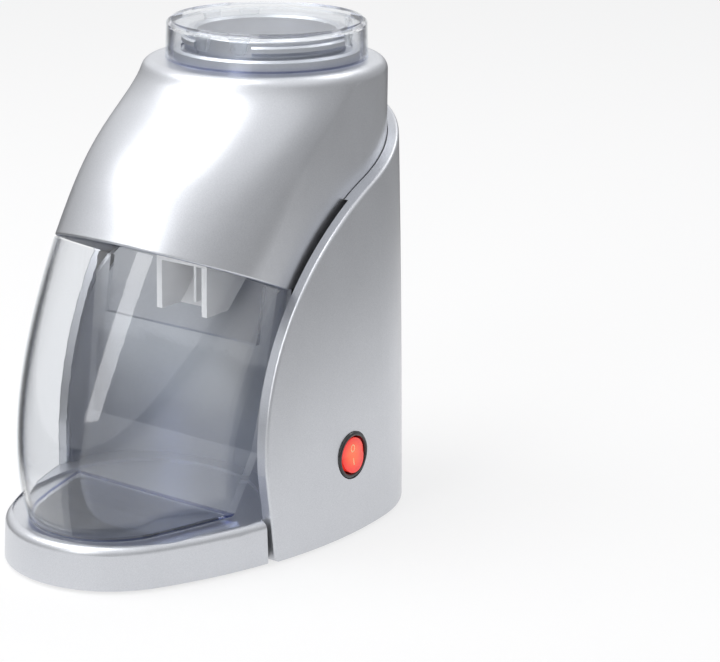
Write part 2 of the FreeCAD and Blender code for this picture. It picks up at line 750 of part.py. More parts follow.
def make_plinth():
    inset = D["plinth_setback"]
    sections = []
    for index, height in enumerate((D["foot_lift"], D["plinth_top"])):
        sketch = free_sketch("plinth_outline_%d" % index, "XY", height)
        narrower = inset + index * 0.9
        plan_outline(sketch, half_width - narrower, front_y + index * 0.9, rear_y - narrower,
                     D["side_bow"] - narrower, D["widest_y"])
        sections.append(sketch)
    outer = loft("plinth_outer", sections)
    top = D["plinth_top"].value
    smooth = rounded("plinth_rounded", outer, D["plinth_round"],
                     lambda edge: all(abs(v.Z - top) < 0.01 for v in edge.Vertexes))
    hollow_sections = []
    floor_under = D["plinth_top"] - D["recess_depth"] - D["wall"]
    for index, height in enumerate((D["foot_lift"] - 1, floor_under)):
        sketch = free_sketch("plinth_inner_%d" % index, "XY", height)
        narrower = inset + D["wall"] + index * 0.9
        plan_outline(sketch, half_width - narrower, front_y + D["wall"] + index * 0.9,
                     rear_y - narrower, D["side_bow"] - narrower, D["widest_y"])
        hollow_sections.append(sketch)
    hollow = loft("plinth_hollow", hollow_sections)
    seat = free_sketch("plinth_seat_profile", "XY", D["plinth_top"] - D["recess_depth"])
    plan_outline(seat, size(55), FOOT_FRONT - D["recess_room"], size(12), size(400), size(-28))
    recess = extrude("plinth_seat", seat, 20)
    rear_room = box("plinth_rear_room", -EXTENT / 2, D["seam_y"] - D["seam_gap"], 0, EXTENT,
                    D["overall_depth"], D["overall_height"])
    nose = cut("plinth_nose", smooth, hollow, rear_room)
    tongue_sketch = free_sketch("plinth_tongue_profile", "XY", floor_under)
    liner_outline(tongue_sketch, D["liner_wall"] - 0.2, D["seam_y"] - 6)
    tongue = extrude("plinth_tongue", tongue_sketch, D["recess_depth"] + D["wall"])
    posts = [cylinder("plinth_boss_%d" % index, boss_radius, floor_under - plate_top + 0.5,
                      across, along, plate_top) for index, (across, along) in enumerate(nose_bosses)]
    whole = fuse("plinth_whole", nose, tongue, *posts)
    pilots = [cylinder("plinth_pilot_%d" % index, screw_radius, 10, across, along, plate_top - 1)
              for index, (across, along) in enumerate(nose_bosses)]
    return finish("base_plinth", cut("plinth_solid", whole, recess, *pilots))


FOOT_FRONT = front_y + 11.1


def make_bottom_plate():
    inset = D["rim_face"] + 0.5
    sketch = free_sketch("plate_outline", "XY", D["foot_lift"])
    plan_outline(sketch, half_width - inset, front_y + inset, rear_y - inset,
                 D["side_bow"] - inset, D["widest_y"])
    sheet = extrude("plate_blank", sketch, D["plate_sheet"])
    holes = [cylinder("plate_hole_%d" % index, screw_radius + 0.3, 10, across, along, 0)
             for index, (across, along) in enumerate(base_bosses + nose_bosses)]
    slots = [box("plate_vent_%d" % index, -24 + index * 8, rear_y - 70, 0, 4, 30, 10)
             for index in range(7)]
    return finish("bottom_plate", cut("plate_solid", sheet, *(holes + slots)))


def make_feet():
    spots = [(36, -62), (-36, -62), (46, 72), (-46, 72)]
    feet = doc.addObject("Part::Compound", "rubber_feet_group")
    feet.Links = [cylinder("foot_%d" % index, 6.5, D["foot_lift"], half_width * (across / 75.3),
                           rear_y * (along / 116.3)) for index, (across, along) in enumerate(spots)]
    return finish("rubber_feet", feet)


# ---------------------------------------------------------------- feed neck and lid

RAMPS = 3
RAMP_START = -62


def make_feed_neck():
    body = new_body("feed_neck")
    top = D["head_top"]
    bore, neck, collar = D["neck_bore"], D["neck_radius"], D["collar_radius"]
    ring = top + D["collar_height"]
    rim = top + D["neck_height"]
    turned(body, "neck", [
        (bore, top - D["neck_skirt"]), (neck - 1.5, top - D["neck_skirt"]), (neck - 1.5, top),
        (collar, top), (collar, ring - 1.2), (collar - 1.2, ring), (neck + 2.6, ring),
        (neck + 2.2, ring - 1), (neck, ring - 1), (neck, rim - 1), (neck - 1, rim),
        (bore + 1.2, rim), (bore, rim - 1.2)])
    ramp = body_sketch(body, "neck_ramp", "XZ")
    reach = neck + D["ramp_reach"]
    polygon(ramp, [(neck - 0.8, ring - 0.8), (neck + 0.9, ring - 0.8), (neck + 1.1, ring + 1.2),
                   (reach, ring + 3), (reach, ring + 5), (reach - 1, ring + 6), (neck - 0.8, ring + 6)])
    sweep = body.newObject("PartDesign::Revolution", "neck_ramp_turn")
    sweep.Profile = ramp
    sweep.ReferenceAxis = (ramp, ["V_Axis"])
    bind(sweep, "Angle", D["ramp_angle"])
    ring_pattern(body, [sweep], "Z", RAMPS)
    move(body, y=head_y)
    body.Placement.Rotation = Rotation(Vector(0, 0, 1), RAMP_START)
    return body


def make_lid():
    body = doc.addObject("PartDesign::Body", "lid_shell")
    low = D["head_top"] + D["lid_seat_gap"]
    top = D["overall_height"]
    wide = D["lid_radius"]
    narrow = wide - D["lid_draft"]
    wall = D["clear_wall"]
    turned(body, "lid_profile", [
        (0, top - wall), (narrow - wall - 1.5, top - wall), (narrow - wall, top - wall - 1.5),
        (wide - wall, low), (wide, low), (narrow, top - 1.8), (narrow - 1.8, top), (0, top)])
    move(body, y=head_y)
    lug_inner = D["neck_radius"] + 1
    annulus = cut("lid_lug_ring",
                  cylinder("lid_lug_outside", lug_inner + D["lug_deep"], 40, 0, head_y, top - 42),
                  cylinder("lid_lug_inside", lug_inner, 60, 0, head_y, top - 50))
    gap = 360.0 / RAMPS - D["ramp_angle"].value
    wedges = []
    for index in range(RAMPS):
        for count, place in enumerate((-8.5, 8.5 - gap)):
            angle = 90 + RAMP_START + place + index * 360.0 / RAMPS
            lug = free_sketch("lid_lug_%d_%d" % (index, count), "XZ")
            polygon(lug, [(-2.4, top - wall - D["lug_drop"]), (2.4, top - wall - D["lug_drop"]),
                          (3.4, top - wall - D["lug_drop"] + 1.5), (5.4, top - wall + 0.5),
                          (-5.4, top - wall + 0.5), (-3.4, top - wall - D["lug_drop"] + 1.5)])
            turn = Rotation(Vector(0, 0, 1), angle)
            lug.Placement = Placement(Vector(), turn.multiply(PLANES["XZ"]))
            bind(lug, "Placement.Base.y", head_y)
            wedges.append(extrude("lid_wedge_%d_%d" % (index, count), lug, D["lid_radius"]))
    lugs = common("lid_lugs", fuse("lid_wedges", *wedges), annulus)
    return finish("lid", fuse("lid_solid", body, lugs))


# ---------------------------------------------------------------- crusher

def make_chamber():
    """Hopper cone, crushing chamber around the blades and the outlet to the chute."""
    y, z = crusher_axis
    inside = free_sketch("chamber_profile", "YZ")
    reach = D["blade_reach"]
    polygon(inside, [(y - reach - 3, z + 28), (y + 49, z + 28), (y + reach + 3, z - 6),
                     (y + 15, z - reach + 2), (y - 4, z - reach - 6), (y - reach - 3, z - reach - 6)])
    room = extrude("chamber_room", inside, crusher_width, symmetric=True)
    shell = extrude("chamber_block", grown("chamber_outline", inside, D["wall"]),
                    crusher_width + 2 * D["wall"], symmetric=True)
    skirt_z = D["head_top"] - D["neck_skirt"]
    cone_low = z + 28 + D["wall"] - 1
    cup_radius = D["neck_radius"] + 1
    cup = cylinder("chamber_cup", cup_radius, D["neck_skirt"] + 3 - D["wall"], 0, head_y, skirt_z - 3)
    socket = cylinder("chamber_socket", D["neck_radius"] - 1.3, 30, 0, head_y, skirt_z)
    cones = []
    for name, spread, low in (("chamber_cone", D["wall"], cone_low), ("chamber_funnel", size(0), z + 27)):
        cone = doc.addObject("Part::Cone", name)
        bind(cone, "Radius1", D["neck_bore"] - 9 + spread)
        bind(cone, "Radius2", D["neck_bore"] + spread)
        bind(cone, "Height", skirt_z - low)
        move(cone, 0, head_y, low)
        cones.append(cone)
    outlet = box("chamber_outlet", -(D["chute_width"] / 2 - D["chute_wall"]), y - reach - 3,
                 z - reach - 15, D["chute_width"] - 2 * D["chute_wall"], 19, 20)
    bearing = cylinder("chamber_bearing", bush_radius, chamber_half * 2 + 20, -chamber_half - 10,
                       y, z, "x")
    boss = cylinder("chamber_boss", bush_radius + 2.5, 4, chamber_half - 0.5, y, z, "x")
    solid = fuse("chamber_solid", shell, cup, cones[0], boss)
    return finish("crusher_chamber", cut("chamber_hollow", solid, room, cones[1], socket, outlet, bearing))


bush_radius = size(6.5)


def make_chute():
    """Open-front channel under the chamber's outlet."""
    y, z = crusher_axis
    top = z - D["blade_reach"] - 6 - D["wall"]
    back = y - 4 + D["wall"] - 2
    front = D["chute_front"]
    side = free_sketch("chute_profile", "YZ")
    polygon(side, [(front, D["chute_end"]), (front, top), (back, top), (back, top - 6),
                   (front + 16, D["chute_end"])])
    block = extrude("chute_block", side, D["chute_width"], symmetric=True)
    channel = free_sketch("chute_channel", "YZ")
    wall = D["chute_wall"]
    polygon(channel, [(front - 10, D["chute_end"] - 10), (front - 10, top - 2.5),
                      (y - D["blade_reach"] - 3, top - 2.5), (y - D["blade_reach"] - 3, top + 5),
                      (back - wall, top + 5), (back - wall, top - 5),
                      (front + 16 - wall, D["chute_end"] - 1),
                      (front + 16 - wall, D["chute_end"] - 10)])
    room = extrude("chute_room", channel, D["chute_width"] - 2 * wall, symmetric=True)
    rib = box("chute_rib", -0.8, front + 10, D["chute_end"] + 3, 1.6, 9, top - D["chute_end"] - 9)
    rib_in = common("chute_rib_trimmed", rib, block)
    return finish("ice_chute", fuse("chute_solid", cut("chute_hollow", block, room), rib_in))


def yz_ring(name, radius, bore, start, length, centre=None):
    """A ring around the crusher axis, or around another centre, from x = start along +X."""
    y, z = centre or crusher_axis
    blank = cylinder(name + "_blank", radius, length, start, y, z, "x")
    hole = cylinder(name + "_bore", bore, length + 4, start - 2, y, z, "x")
    return cut(name, blank, hole)


blade_pitch = crusher_width / (D["blade_count"] + 1)
blade_places = [(-crusher_width / 2) + blade_pitch * (index + 1)
                for index in range(int(D["blade_count"].value))]


def make_blades():
    """Two-armed toothed blades, each turned on from its neighbour."""
    arm = [(8, -7), (13, -4.4), (15, -6.6), (18.5, -3.6), (20, -4.4), (21.6, -2), (21.8, 2.2),
           (15, 7), (7, 8)]
    blades = doc.addObject("Part::Compound", "blade_group")
    y, z = crusher_axis
    scale = D["blade_reach"] / 22
    found = []
    for index, place in enumerate(blade_places):
        sketch = free_sketch("blade_profile_%d" % index, "YZ", place - D["blade_sheet"] / 2)
        polygon(sketch, [(scale * across, scale * up) for across, up in arm]
                + [(-scale * across, -scale * up) for across, up in arm])
        circle(sketch, 0, 0, D["shaft_radius"])
        turn = Rotation(Vector(1, 0, 0), index * 180.0 / D["blade_count"].value)
        sketch.Placement = Placement(Vector(), turn.multiply(PLANES["YZ"]))
        bind(sketch, "Placement.Base.x", place - D["blade_sheet"] / 2)
        bind(sketch, "Placement.Base.y", y)
        bind(sketch, "Placement.Base.z", z)
        found.append(extrude("blade_%d" % index, sketch, D["blade_sheet"]))
    blades.Links = found
    return finish("crusher_blades", blades)


def make_spacers():
    spacers = doc.addObject("Part::Compound", "spacer_group")
    half = D["blade_sheet"] / 2
    left_end = -chamber_half + D["wall"] + 1
    right_end = chamber_half - D["wall"] - 1
    starts = [left_end] + [place + half for place in blade_places]
    stops = [place - half for place in blade_places] + [right_end]
    spacers.Links = [yz_ring("spacer_%d" % index, D["spacer_radius"], D["shaft_radius"], start,
                             stop - start) for index, (start, stop) in enumerate(zip(starts, stops))]
    return finish("shaft_spacers", spacers)


def make_fixed_blades():
    """Comb whose fingers stand between the moving blades."""
    y, z = crusher_axis
    wall_y = y - D["blade_reach"] - 3
    tip_y = y - D["spacer_radius"] - 0.9
    plate = box("comb_plate", -(crusher_width / 2 - 1), wall_y, z - 14,
                crusher_width - 2, D["blade_sheet"], 28)
    fingers = []
    count = int(D["blade_count"].value) + 1
    for index in range(count):
        middle = -crusher_width / 2 + blade_pitch * (index + 0.5)
        sketch = free_sketch("finger_profile_%d" % index, "YZ", middle - D["blade_sheet"] / 2)
        polygon(sketch, [(wall_y, z - 10), (tip_y, z - 3), (tip_y, z + 3), (wall_y + 8, z + 5),
                         (wall_y, z + 12)])
        fingers.append(extrude("finger_%d" % index, sketch, D["blade_sheet"]))
    return finish("fixed_blades", fuse("comb", plate, *fingers))


def make_crusher_shaft():
    y, z = crusher_axis
    start = -(cover_slow + cover_wall)
    length = chamber_half + 2 - start
    rod = cylinder("crusher_shaft_rod", D["shaft_radius"], length, start, y, z, "x")
    return finish("crusher_shaft", rod)


def make_bushes():
    bushes = doc.addObject("Part::Compound", "bush_group")
    bore = D["shaft_radius"] + D["running_fit"]
    bushes.Links = [
        yz_ring("bush_left", bush_radius, bore, -plate_out, D["wall"] + 2.5),
        yz_ring("bush_right", bush_radius, bore, chamber_half - D["wall"], D["wall"] + 3.5)]
    return finish("shaft_bushes", bushes)


# ---------------------------------------------------------------- gears, gearbox and motor

def add_teeth(body, name, module, teeth, start, face, phase):
    """A toothed rim: root disc, one tooth with kinked flanks, and its pattern about X."""
    pitch = module * teeth / 2
    root_radius = pitch - 1.25 * module
    disc = body_sketch(body, name + "_disc", "YZ", start)
    circle(disc, 0, 0, root_radius)
    pad(body, disc, face)
    tooth = body_sketch(body, name + "_tooth", "YZ", start, phase)
    polygon(tooth, [
        (root_radius - 0.4 * module, -1.02 * module), (root_radius, -0.98 * module),
        (pitch, -0.7 * module), (pitch + 0.95 * module, -0.3 * module),
        (pitch + 0.95 * module, 0.3 * module), (pitch, 0.7 * module),
        (root_radius, 0.98 * module), (root_radius - 0.4 * module, 1.02 * module)])
    feature = pad(body, tooth, face)
    ring_pattern(body, [feature], "X", teeth)


def bore_body(body, name, radius):
    sketch = body_sketch(body, name, "YZ")
    circle(sketch, 0, 0, radius)
    pocket_all(body, sketch)


def make_gears():
    to_crusher = D["slow_bearing"] + 180
    to_motor = D["fast_bearing"]
    pinion = new_body("motor_pinion")
    add_teeth(pinion, "fast_pinion", D["fast_module"], D["fast_pinion"], -(wheel_start + wheel_face + 0.5),
              wheel_face + 1, to_motor + 180)
    bore_body(pinion, "fast_pinion_bore", motor_shaft_radius)
    move(pinion, 0, *motor_axis)
    compound = new_body("compound_gear")
    add_teeth(compound, "fast_wheel", D["fast_module"], D["fast_wheel"], -(wheel_start + wheel_face),
              wheel_face, to_motor + 180 / D["fast_wheel"])
    add_teeth(compound, "slow_pinion", D["slow_module"], D["slow_pinion"], -(wheel_start + 0.01),
              slow_face + 1.01, to_crusher)
    bore_body(compound, "compound_bore", pin_radius + D["running_fit"])
    move(compound, 0, *compound_axis)
    wheel = new_body("crusher_gear")
    add_teeth(wheel, "slow_wheel", D["slow_module"], D["slow_wheel"], -(gear_start + slow_face),
              slow_face, to_crusher + 180 + 180 / D["slow_wheel"])
    bore_body(wheel, "slow_wheel_bore", D["shaft_radius"])
    move(wheel, 0, *crusher_axis)


motor_shaft_radius = size(2)
pin_radius = size(2)
slow_room = D["slow_module"] * (D["slow_wheel"] / 2 + 1) + 1.5
fast_room = D["fast_module"] * (D["fast_wheel"] / 2 + 1) + 1
pinion_room = D["fast_module"] * (D["fast_pinion"] / 2 + 1) + 2
ear_radius = size(4.5)
gear_screw = size(1.5)


def ear_place(axis, room, bearing):
    """A screw ear just outside a disc, in the given direction from its axis."""
    reach = room + cover_wall + 3.2
    return (axis[0] + reach * math.cos(math.radians(bearing)),
            axis[1] + reach * math.sin(math.radians(bearing)))


ears = [ear_place(crusher_axis, slow_room, 165), ear_place(crusher_axis, slow_room, 110),
        ear_place(motor_axis, pinion_room, 205), ear_place(compound_axis, fast_room, 10)]


def gear_discs(name, spread, ends, start, motor_room):
    """Round discs about the three axes, grown by spread, from x = -end to x = -start."""
    radii = (slow_room, fast_room, motor_room)
    discs = []
    for index, (axis, radius, end) in enumerate(zip((crusher_axis, compound_axis, motor_axis), radii, ends)):
        discs.append(cylinder("%s_%d" % (name, index), radius + spread, end - start, -end, *axis, "x"))
    return discs


def make_gearbox():
    outer = gear_discs("cover_outer", cover_wall,
                       (cover_slow + cover_wall, cover_fast + cover_wall, cover_fast + cover_wall),
                       plate_out, pinion_room)
    inner = gear_discs("cover_inner", size(0), (cover_slow, cover_fast, cover_fast), plate_out - 1,
                       pinion_room)
    lugs = [cylinder("cover_ear_%d" % index, ear_radius, cover_slow - plate_out, -cover_slow, y, z, "x")
            for index, (y, z) in enumerate(ears)]
    holes = [cylinder("cover_ear_hole_%d" % index, gear_screw + 0.1, 30, -cover_slow - 5, y, z, "x")
             for index, (y, z) in enumerate(ears)]
    shaft_hole = cylinder("cover_shaft_hole", D["shaft_radius"] + D["running_fit"], 30, -cover_slow - 5,
                          *crusher_axis, "x")
    pin_hole = cylinder("cover_pin_hole", pin_radius, 30, -cover_fast - 5, *compound_axis, "x")
    walls = fuse("cover_walls", *(outer + lugs))
    room = fuse("cover_room", *inner)
    finish("gearbox_cover", cut("cover_solid", walls, room, shaft_hole, pin_hole, *holes))

    discs = gear_discs("plate_disc", cover_wall, (plate_out, plate_out, plate_out), chamber_half,
                       D["motor_radius"] - 1)
    lugs = [cylinder("plate_ear_%d" % index, ear_radius, plate_out - chamber_half, -plate_out, y, z, "x")
            for index, (y, z) in enumerate(ears)]
    holes = [cylinder("plate_ear_hole_%d" % index, gear_screw, 30, -plate_out - 5, y, z, "x")
             for index, (y, z) in enumerate(ears)]
    holes += [cylinder("plate_bush_hole", bush_radius, 30, -plate_out - 5, *crusher_axis, "x"),
              cylinder("plate_pin_hole", pin_radius, 30, -plate_out - 5, *compound_axis, "x"),
              cylinder("plate_motor_hole", motor_shaft_radius + 1.5, 30, -plate_out - 5, *motor_axis, "x")]
    holes += [cylinder("plate_motor_screw_%d" % index, gear_screw, 30, -plate_out - 5, y, z, "x")
              for index, (y, z) in enumerate(motor_screw_places)]
    finish("gearbox_plate", cut("gearbox_plate_solid", fuse("gearbox_plate_blank", *(discs + lugs)), *holes))


motor_screw_places = [(motor_axis[0], motor_axis[1] + 14), (motor_axis[0], motor_axis[1] - 14)]


def make_motor():
    y, z = motor_axis
    start = -chamber_half
    can = cylinder("motor_can_blank", D["motor_radius"], D["motor_length"], start, y, z, "x")
    bore = cylinder("motor_can_bore", motor_shaft_radius + D["running_fit"], 200, -100, y, z, "x")
    holes = [cylinder("motor_screw_hole_%d" % index, gear_screw, 8, start - 1, along, up, "x")
             for index, (along, up) in enumerate(motor_screw_places)]
    finish("motor_can", cut("motor_can_solid", can, bore, *holes))
    cap_start = start + D["motor_length"]
    cap = fuse("motor_cap_blank", cylinder("motor_cap_disc", D["motor_radius"], 4, cap_start, y, z, "x"),
               cylinder("motor_cap_boss", 8, 4, cap_start + 3.5, y, z, "x"))
    cap_bore = cylinder("motor_cap_bore", motor_shaft_radius + D["running_fit"], 6, cap_start - 1, y, z, "x")
    finish("motor_end_cap", cut("motor_cap_solid", cap, cap_bore))
    shaft_start = -(wheel_start + wheel_face + 0.5)
    finish("motor_shaft", cylinder("motor_shaft_rod", motor_shaft_radius, cap_start + 4 - shaft_start,
                                   shaft_start, y, z, "x"))
    board = box("board_sheet", cap_start + 7.5, y - 13, z - 16, 1.6, 26, 32)
    diodes = [box("board_diode_%d" % index, cap_start + 9, y - 9 + index * 5.4, z - 4, 3, 3, 8)
              for index in range(4)]
    finish("rectifier_board", fuse("board_solid", board, *diodes))


def make_pin():
    start = -(cover_fast + cover_wall)
    finish("compound_pin", cylinder("compound_pin_rod", pin_radius, cover_fast + cover_wall - chamber_half,
                                    start, *compound_axis, "x"))


# ---------------------------------------------------------------- switch and gland

def make_switch():
    y, z = D["switch_y"], D["switch_z"]
    seat = switch_seat_x
    flange = doc.addObject("PartDesign::Body", "bezel_flange")
    rim = D["switch_radius"]
    room_radius = D["rocker_radius"] + 0.7
    turned(flange, "bezel_profile", [
        (room_radius - 1, 0), (rim, 0), (rim, 1.1), (rim - 0.3, 1.8), (rim - 0.9, 2.2),
        (rim - 1.5, 2.2), (rim - 1.9, 1.9), (room_radius, 0.7), (room_radius - 1, 0.7)])
    flange.Placement = Placement(Vector(), Rotation(Vector(0, 1, 0), 90))
    move(flange, seat, y, z)
    barrel = cylinder("bezel_barrel", D["switch_hole"], 20, seat - 20, y, z, "x")
    tabs = [box("switch_tab_%d" % index, seat - 28, y - 3.2, z - 7 + index * 6.5, 8.5, 6.4, 0.8)
            for index in range(3)]
    room = cylinder("bezel_room", room_radius, 20, seat - 8, y, z, "x")
    pins = cylinder("bezel_pin_hole", 1.25, 40, seat - 1.5, y - 20, z, "y")
    finish("switch_body", cut("switch_solid", fuse("switch_blank", flange, barrel, *tabs), room, pins))
    profile = free_sketch("rocker_profile", "XZ", y)
    polygon(profile, [(seat - 4.6, z - 6), (seat + 3.0, z - 8.6), (seat + 1.3, z), (seat + 1.3, z + 8.6),
                      (seat - 4.6, z + 6)])
    wedge = extrude("rocker_wedge", profile, 40, symmetric=True)
    disc = cylinder("rocker_disc", D["rocker_radius"], 20, seat - 8, y, z, "x")
    pin = cylinder("rocker_pin", 1.2, 19.6, seat - 1.5, y - 9.8, z, "y")
    finish("rocker", fuse("rocker_solid", common("rocker_cap", wedge, disc), pin))


def make_gland():
    neck = cylinder("gland_neck", gland_neck, 9, 0, rear_y - 9.1, gland_z, "y")
    flange = cylinder("gland_flange", 7.5, 3, 0, rear_y - D["wall"] - 4, gland_z, "y")
    bore = cylinder("gland_bore", D["cord_bore"], 30, 0, rear_y - 20, gland_z, "y")
    finish("cord_gland", cut("gland_solid", fuse("gland_blank", neck, flange), bore))


# ---------------------------------------------------------------- screws

def screw(name, place, along, shank, radius, head):
    """A pan-head screw; along is (axis, sign) of its point."""
    axis, sign = along
    x, y, z = [size(value) for value in place]
    head_deep = size(1.3)
    offsets = {"x": (1, 0, 0), "z": (0, 0, 1)}[axis]
    shank_from = 0 if sign > 0 else -shank
    head_from = -head_deep if sign > 0 else size(0)
    rod = cylinder(name + "_shank", radius, shank, x + offsets[0] * size(shank_from),
                   y, z + offsets[2] * size(shank_from), axis)
    cap = cylinder(name + "_head", head, head_deep + 0, x + offsets[0] * head_from, y,
                   z + offsets[2] * head_from, axis)
    return fuse(name, rod, cap)


def make_screws():
    base = doc.addObject("Part::Compound", "base_screw_group")
    base.Links = [screw("base_screw_%d" % index, (across, along, D["foot_lift"]), ("z", 1), 11,
                        screw_radius, 3.2)
                  for index, (across, along) in enumerate(base_bosses + nose_bosses)]
    finish("base_screws", base)
    box_screws = doc.addObject("Part::Compound", "gearbox_screw_group")
    box_screws.Links = [screw("gearbox_screw_%d" % index, (-cover_slow, y, z), ("x", 1),
                              cover_slow - chamber_half, gear_screw, 3)
                        for index, (y, z) in enumerate(ears)]
    finish("gearbox_screws", box_screws)
    motor_screws = doc.addObject("Part::Compound", "motor_screw_group")
    motor_screws.Links = [screw("motor_screw_%d" % index, (-plate_out, y, z), ("x", 1), 8, gear_screw, 2.8)
                          for index, (y, z) in enumerate(motor_screw_places)]
    finish("motor_screws", motor_screws)


make_rear_housing()
make_head()
make_bowl()
make_liner()
make_roof()
make_plinth()
make_bottom_plate()
make_feet()
make_feed_neck()
make_lid()
make_chamber()
make_chute()
make_blades()
make_spacers()
make_fixed_blades()
make_crusher_shaft()
make_bushes()
make_gears()
make_gearbox()
make_motor()
make_pin()
make_switch()
make_gland()
make_screws()


# ---------------------------------------------------------------- write the sub-parts

doc.recompute()
for item in doc.Objects:
    if "Invalid" in item.State or "Error" in item.State:
        raise RuntimeError("%s is %s" % (item.Name, item.State))
os.makedirs("parts", exist_ok=True)
for item in PARTS:
    if item.Shape.isNull() or not item.Shape.isValid():
        raise RuntimeError("%s has no valid shape" % item.Label)
    item.Shape.exportStep(os.path.join("parts", item.Label + ".step"))
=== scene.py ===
import math

import bpy
from bpy.props import FloatProperty, FloatVectorProperty, PointerProperty
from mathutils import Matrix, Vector


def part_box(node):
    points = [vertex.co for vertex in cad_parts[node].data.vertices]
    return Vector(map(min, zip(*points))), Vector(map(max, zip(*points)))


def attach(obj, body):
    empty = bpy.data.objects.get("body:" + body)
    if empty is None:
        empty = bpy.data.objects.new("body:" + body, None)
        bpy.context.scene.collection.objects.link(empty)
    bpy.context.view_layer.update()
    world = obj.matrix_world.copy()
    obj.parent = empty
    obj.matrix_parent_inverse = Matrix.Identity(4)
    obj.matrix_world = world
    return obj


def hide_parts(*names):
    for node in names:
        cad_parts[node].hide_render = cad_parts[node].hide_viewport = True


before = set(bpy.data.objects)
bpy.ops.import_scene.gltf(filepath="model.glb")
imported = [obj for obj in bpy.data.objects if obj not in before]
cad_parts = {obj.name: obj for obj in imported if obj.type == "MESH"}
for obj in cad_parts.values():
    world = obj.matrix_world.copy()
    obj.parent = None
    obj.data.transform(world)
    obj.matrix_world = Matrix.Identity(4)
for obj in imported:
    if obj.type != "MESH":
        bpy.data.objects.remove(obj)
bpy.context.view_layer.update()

bl_info = {
    "name": "Ice Crusher Finish",
    "version": (1, 0, 0),
    "blender": (4, 5, 0),
    "location": "View3D > Sidebar > Ice Crusher",
    "description": "Finishes, small mouldings, light and camera for the electric ice crusher",
    "category": "Object",
}

MM = 0.001

# Clear plastic: bands painted with the edge tint, partly the clear edges' own tint and partly
# painted shade for their dark refraction lines, and the lid's frosted lugs, in metres.
BOWL_FOOT_BAND = (1.9 * MM, 2.8 * MM)
LID_RIM_BAND = (0.5 * MM, 1.0 * MM)
LID_CORNER_DOWN = (1.6 * MM, 0.8 * MM)
LID_CORNER_IN = (1.8 * MM, 1.2 * MM)
LID_LUGS_IN = (4.2 * MM, 3.6 * MM)
LID_LUGS_DOWN = (3.2 * MM, 2.6 * MM)
SHADOW_TINT = (0.95, 0.96, 0.97)
TRAPPED_TINT = (0.6, 0.63, 0.72)
MOST_REFLECTIONS = 1.5
MOST_TRANSMISSIONS = 5.5

# The rocker's marks: the ring on the upper half of its face, the bar on the lower.
RING_RADIUS = 1.35 * MM
RING_STROKE = 0.26 * MM
RING_FACE = 73.52 * MM
RING_ABOVE = 3.3 * MM
RING_STRETCH = (1.25, 1.0, 0.9)
BAR_FACE = 74.12 * MM
BAR_BELOW = 3.2 * MM
BAR_LEAN = -11.3
BAR_SIZE = (0.5 * MM, 0.6 * MM, 3.4 * MM)
BAR_EDGE = 0.14 * MM
ROCKER_EDGE = 0.6 * MM

# The studio, in metres.
FLOOR_RADIUS = 6.0
CAMERA_PLACE = (0.77066, -0.93187, 0.45546)
CAMERA_AIM = (0, 0.0439, 0.1203)
CAMERA_SHIFT = (0.143, -0.0974)
CARD_DIRECTION = (-0.60, 0.72, 0.34)


# ---------------------------------------------------------------- sizes and colours

def colour(name, text, value):
    return FloatVectorProperty(name=name, description=text, subtype="COLOR", size=3, min=0, max=1,
                               default=value)


def share(name, text, value):
    return FloatProperty(name=name, description=text, subtype="FACTOR", min=0, max=1, default=value)


def length(name, text, value):
    return FloatProperty(name=name, description=text, subtype="DISTANCE", unit="LENGTH", min=0,
                         precision=5, default=value)


class ShellSettings(bpy.types.PropertyGroup):
    silver: colour("Silver", "Base colour of the metallic paint", (0.72, 0.735, 0.77))
    silver_dark: colour("Flake shade", "Darker flakes in the paint", (0.59, 0.605, 0.64))
    # The chamber's silver is the housing paint darkened: painted shade for the recess behind the
    # bowl.
    chamber: colour("Chamber silver, painted shade", "Housing silver darkened as painted shade for the chamber behind the bowl",
                    (0.62, 0.635, 0.665))
    paint_roughness: share("Paint roughness", "Softness of the paint's highlights", 0.31)
    paint_metallic: share("Paint metallic", "How metallic the paint looks", 0.86)
    grain_size: length("Grain size", "Size of the moulded grain", 0.00035)
    underside: colour("Underside", "Bare plastic of the bottom plate", (0.05, 0.05, 0.055))


class ClearSettings(bpy.types.PropertyGroup):
    tint: colour("Clear tint", "Tint of the clear bowl and lid", (0.945, 0.957, 0.972))
    # The edge tint is the clear edges' own tint darkened: painted shade for the dark lines that the
    # thick edges refract.
    edge: colour("Edge tint, painted shade", "Own tint of the cut edges, darkened as painted shade for their dark refraction lines", (0.10, 0.13, 0.36))
    refraction: FloatProperty(name="Refraction", description="Refractive index", min=1, max=2,
                              default=1.18)
    polish: share("Polish", "Roughness of the polished surface", 0.02)


class SwitchSettings(bpy.types.PropertyGroup):
    bezel: colour("Bezel", "Black gloss bezel", (0.012, 0.012, 0.014))
    rocker: colour("Rocker", "Red translucent rocker", (0.75, 0.03, 0.02))
    glow: colour("Glow", "Lamp behind the rocker", (1.0, 0.22, 0.06))
    glow_strength: FloatProperty(name="Glow strength", description="Brightness of the lamp", min=0,
                                 max=10, default=0.6)


class DriveSettings(bpy.types.PropertyGroup):
    steel: colour("Steel", "Ground steel of blades and shafts", (0.6, 0.6, 0.61))
    nylon: colour("Nylon", "Moulded gears", (0.82, 0.8, 0.74))
    brass: colour("Brass", "Motor pinion", (0.72, 0.5, 0.2))
    bronze: colour("Bronze", "Sintered bushes", (0.45, 0.26, 0.13))
    board: colour("Board", "Circuit board", (0.05, 0.16, 0.06))


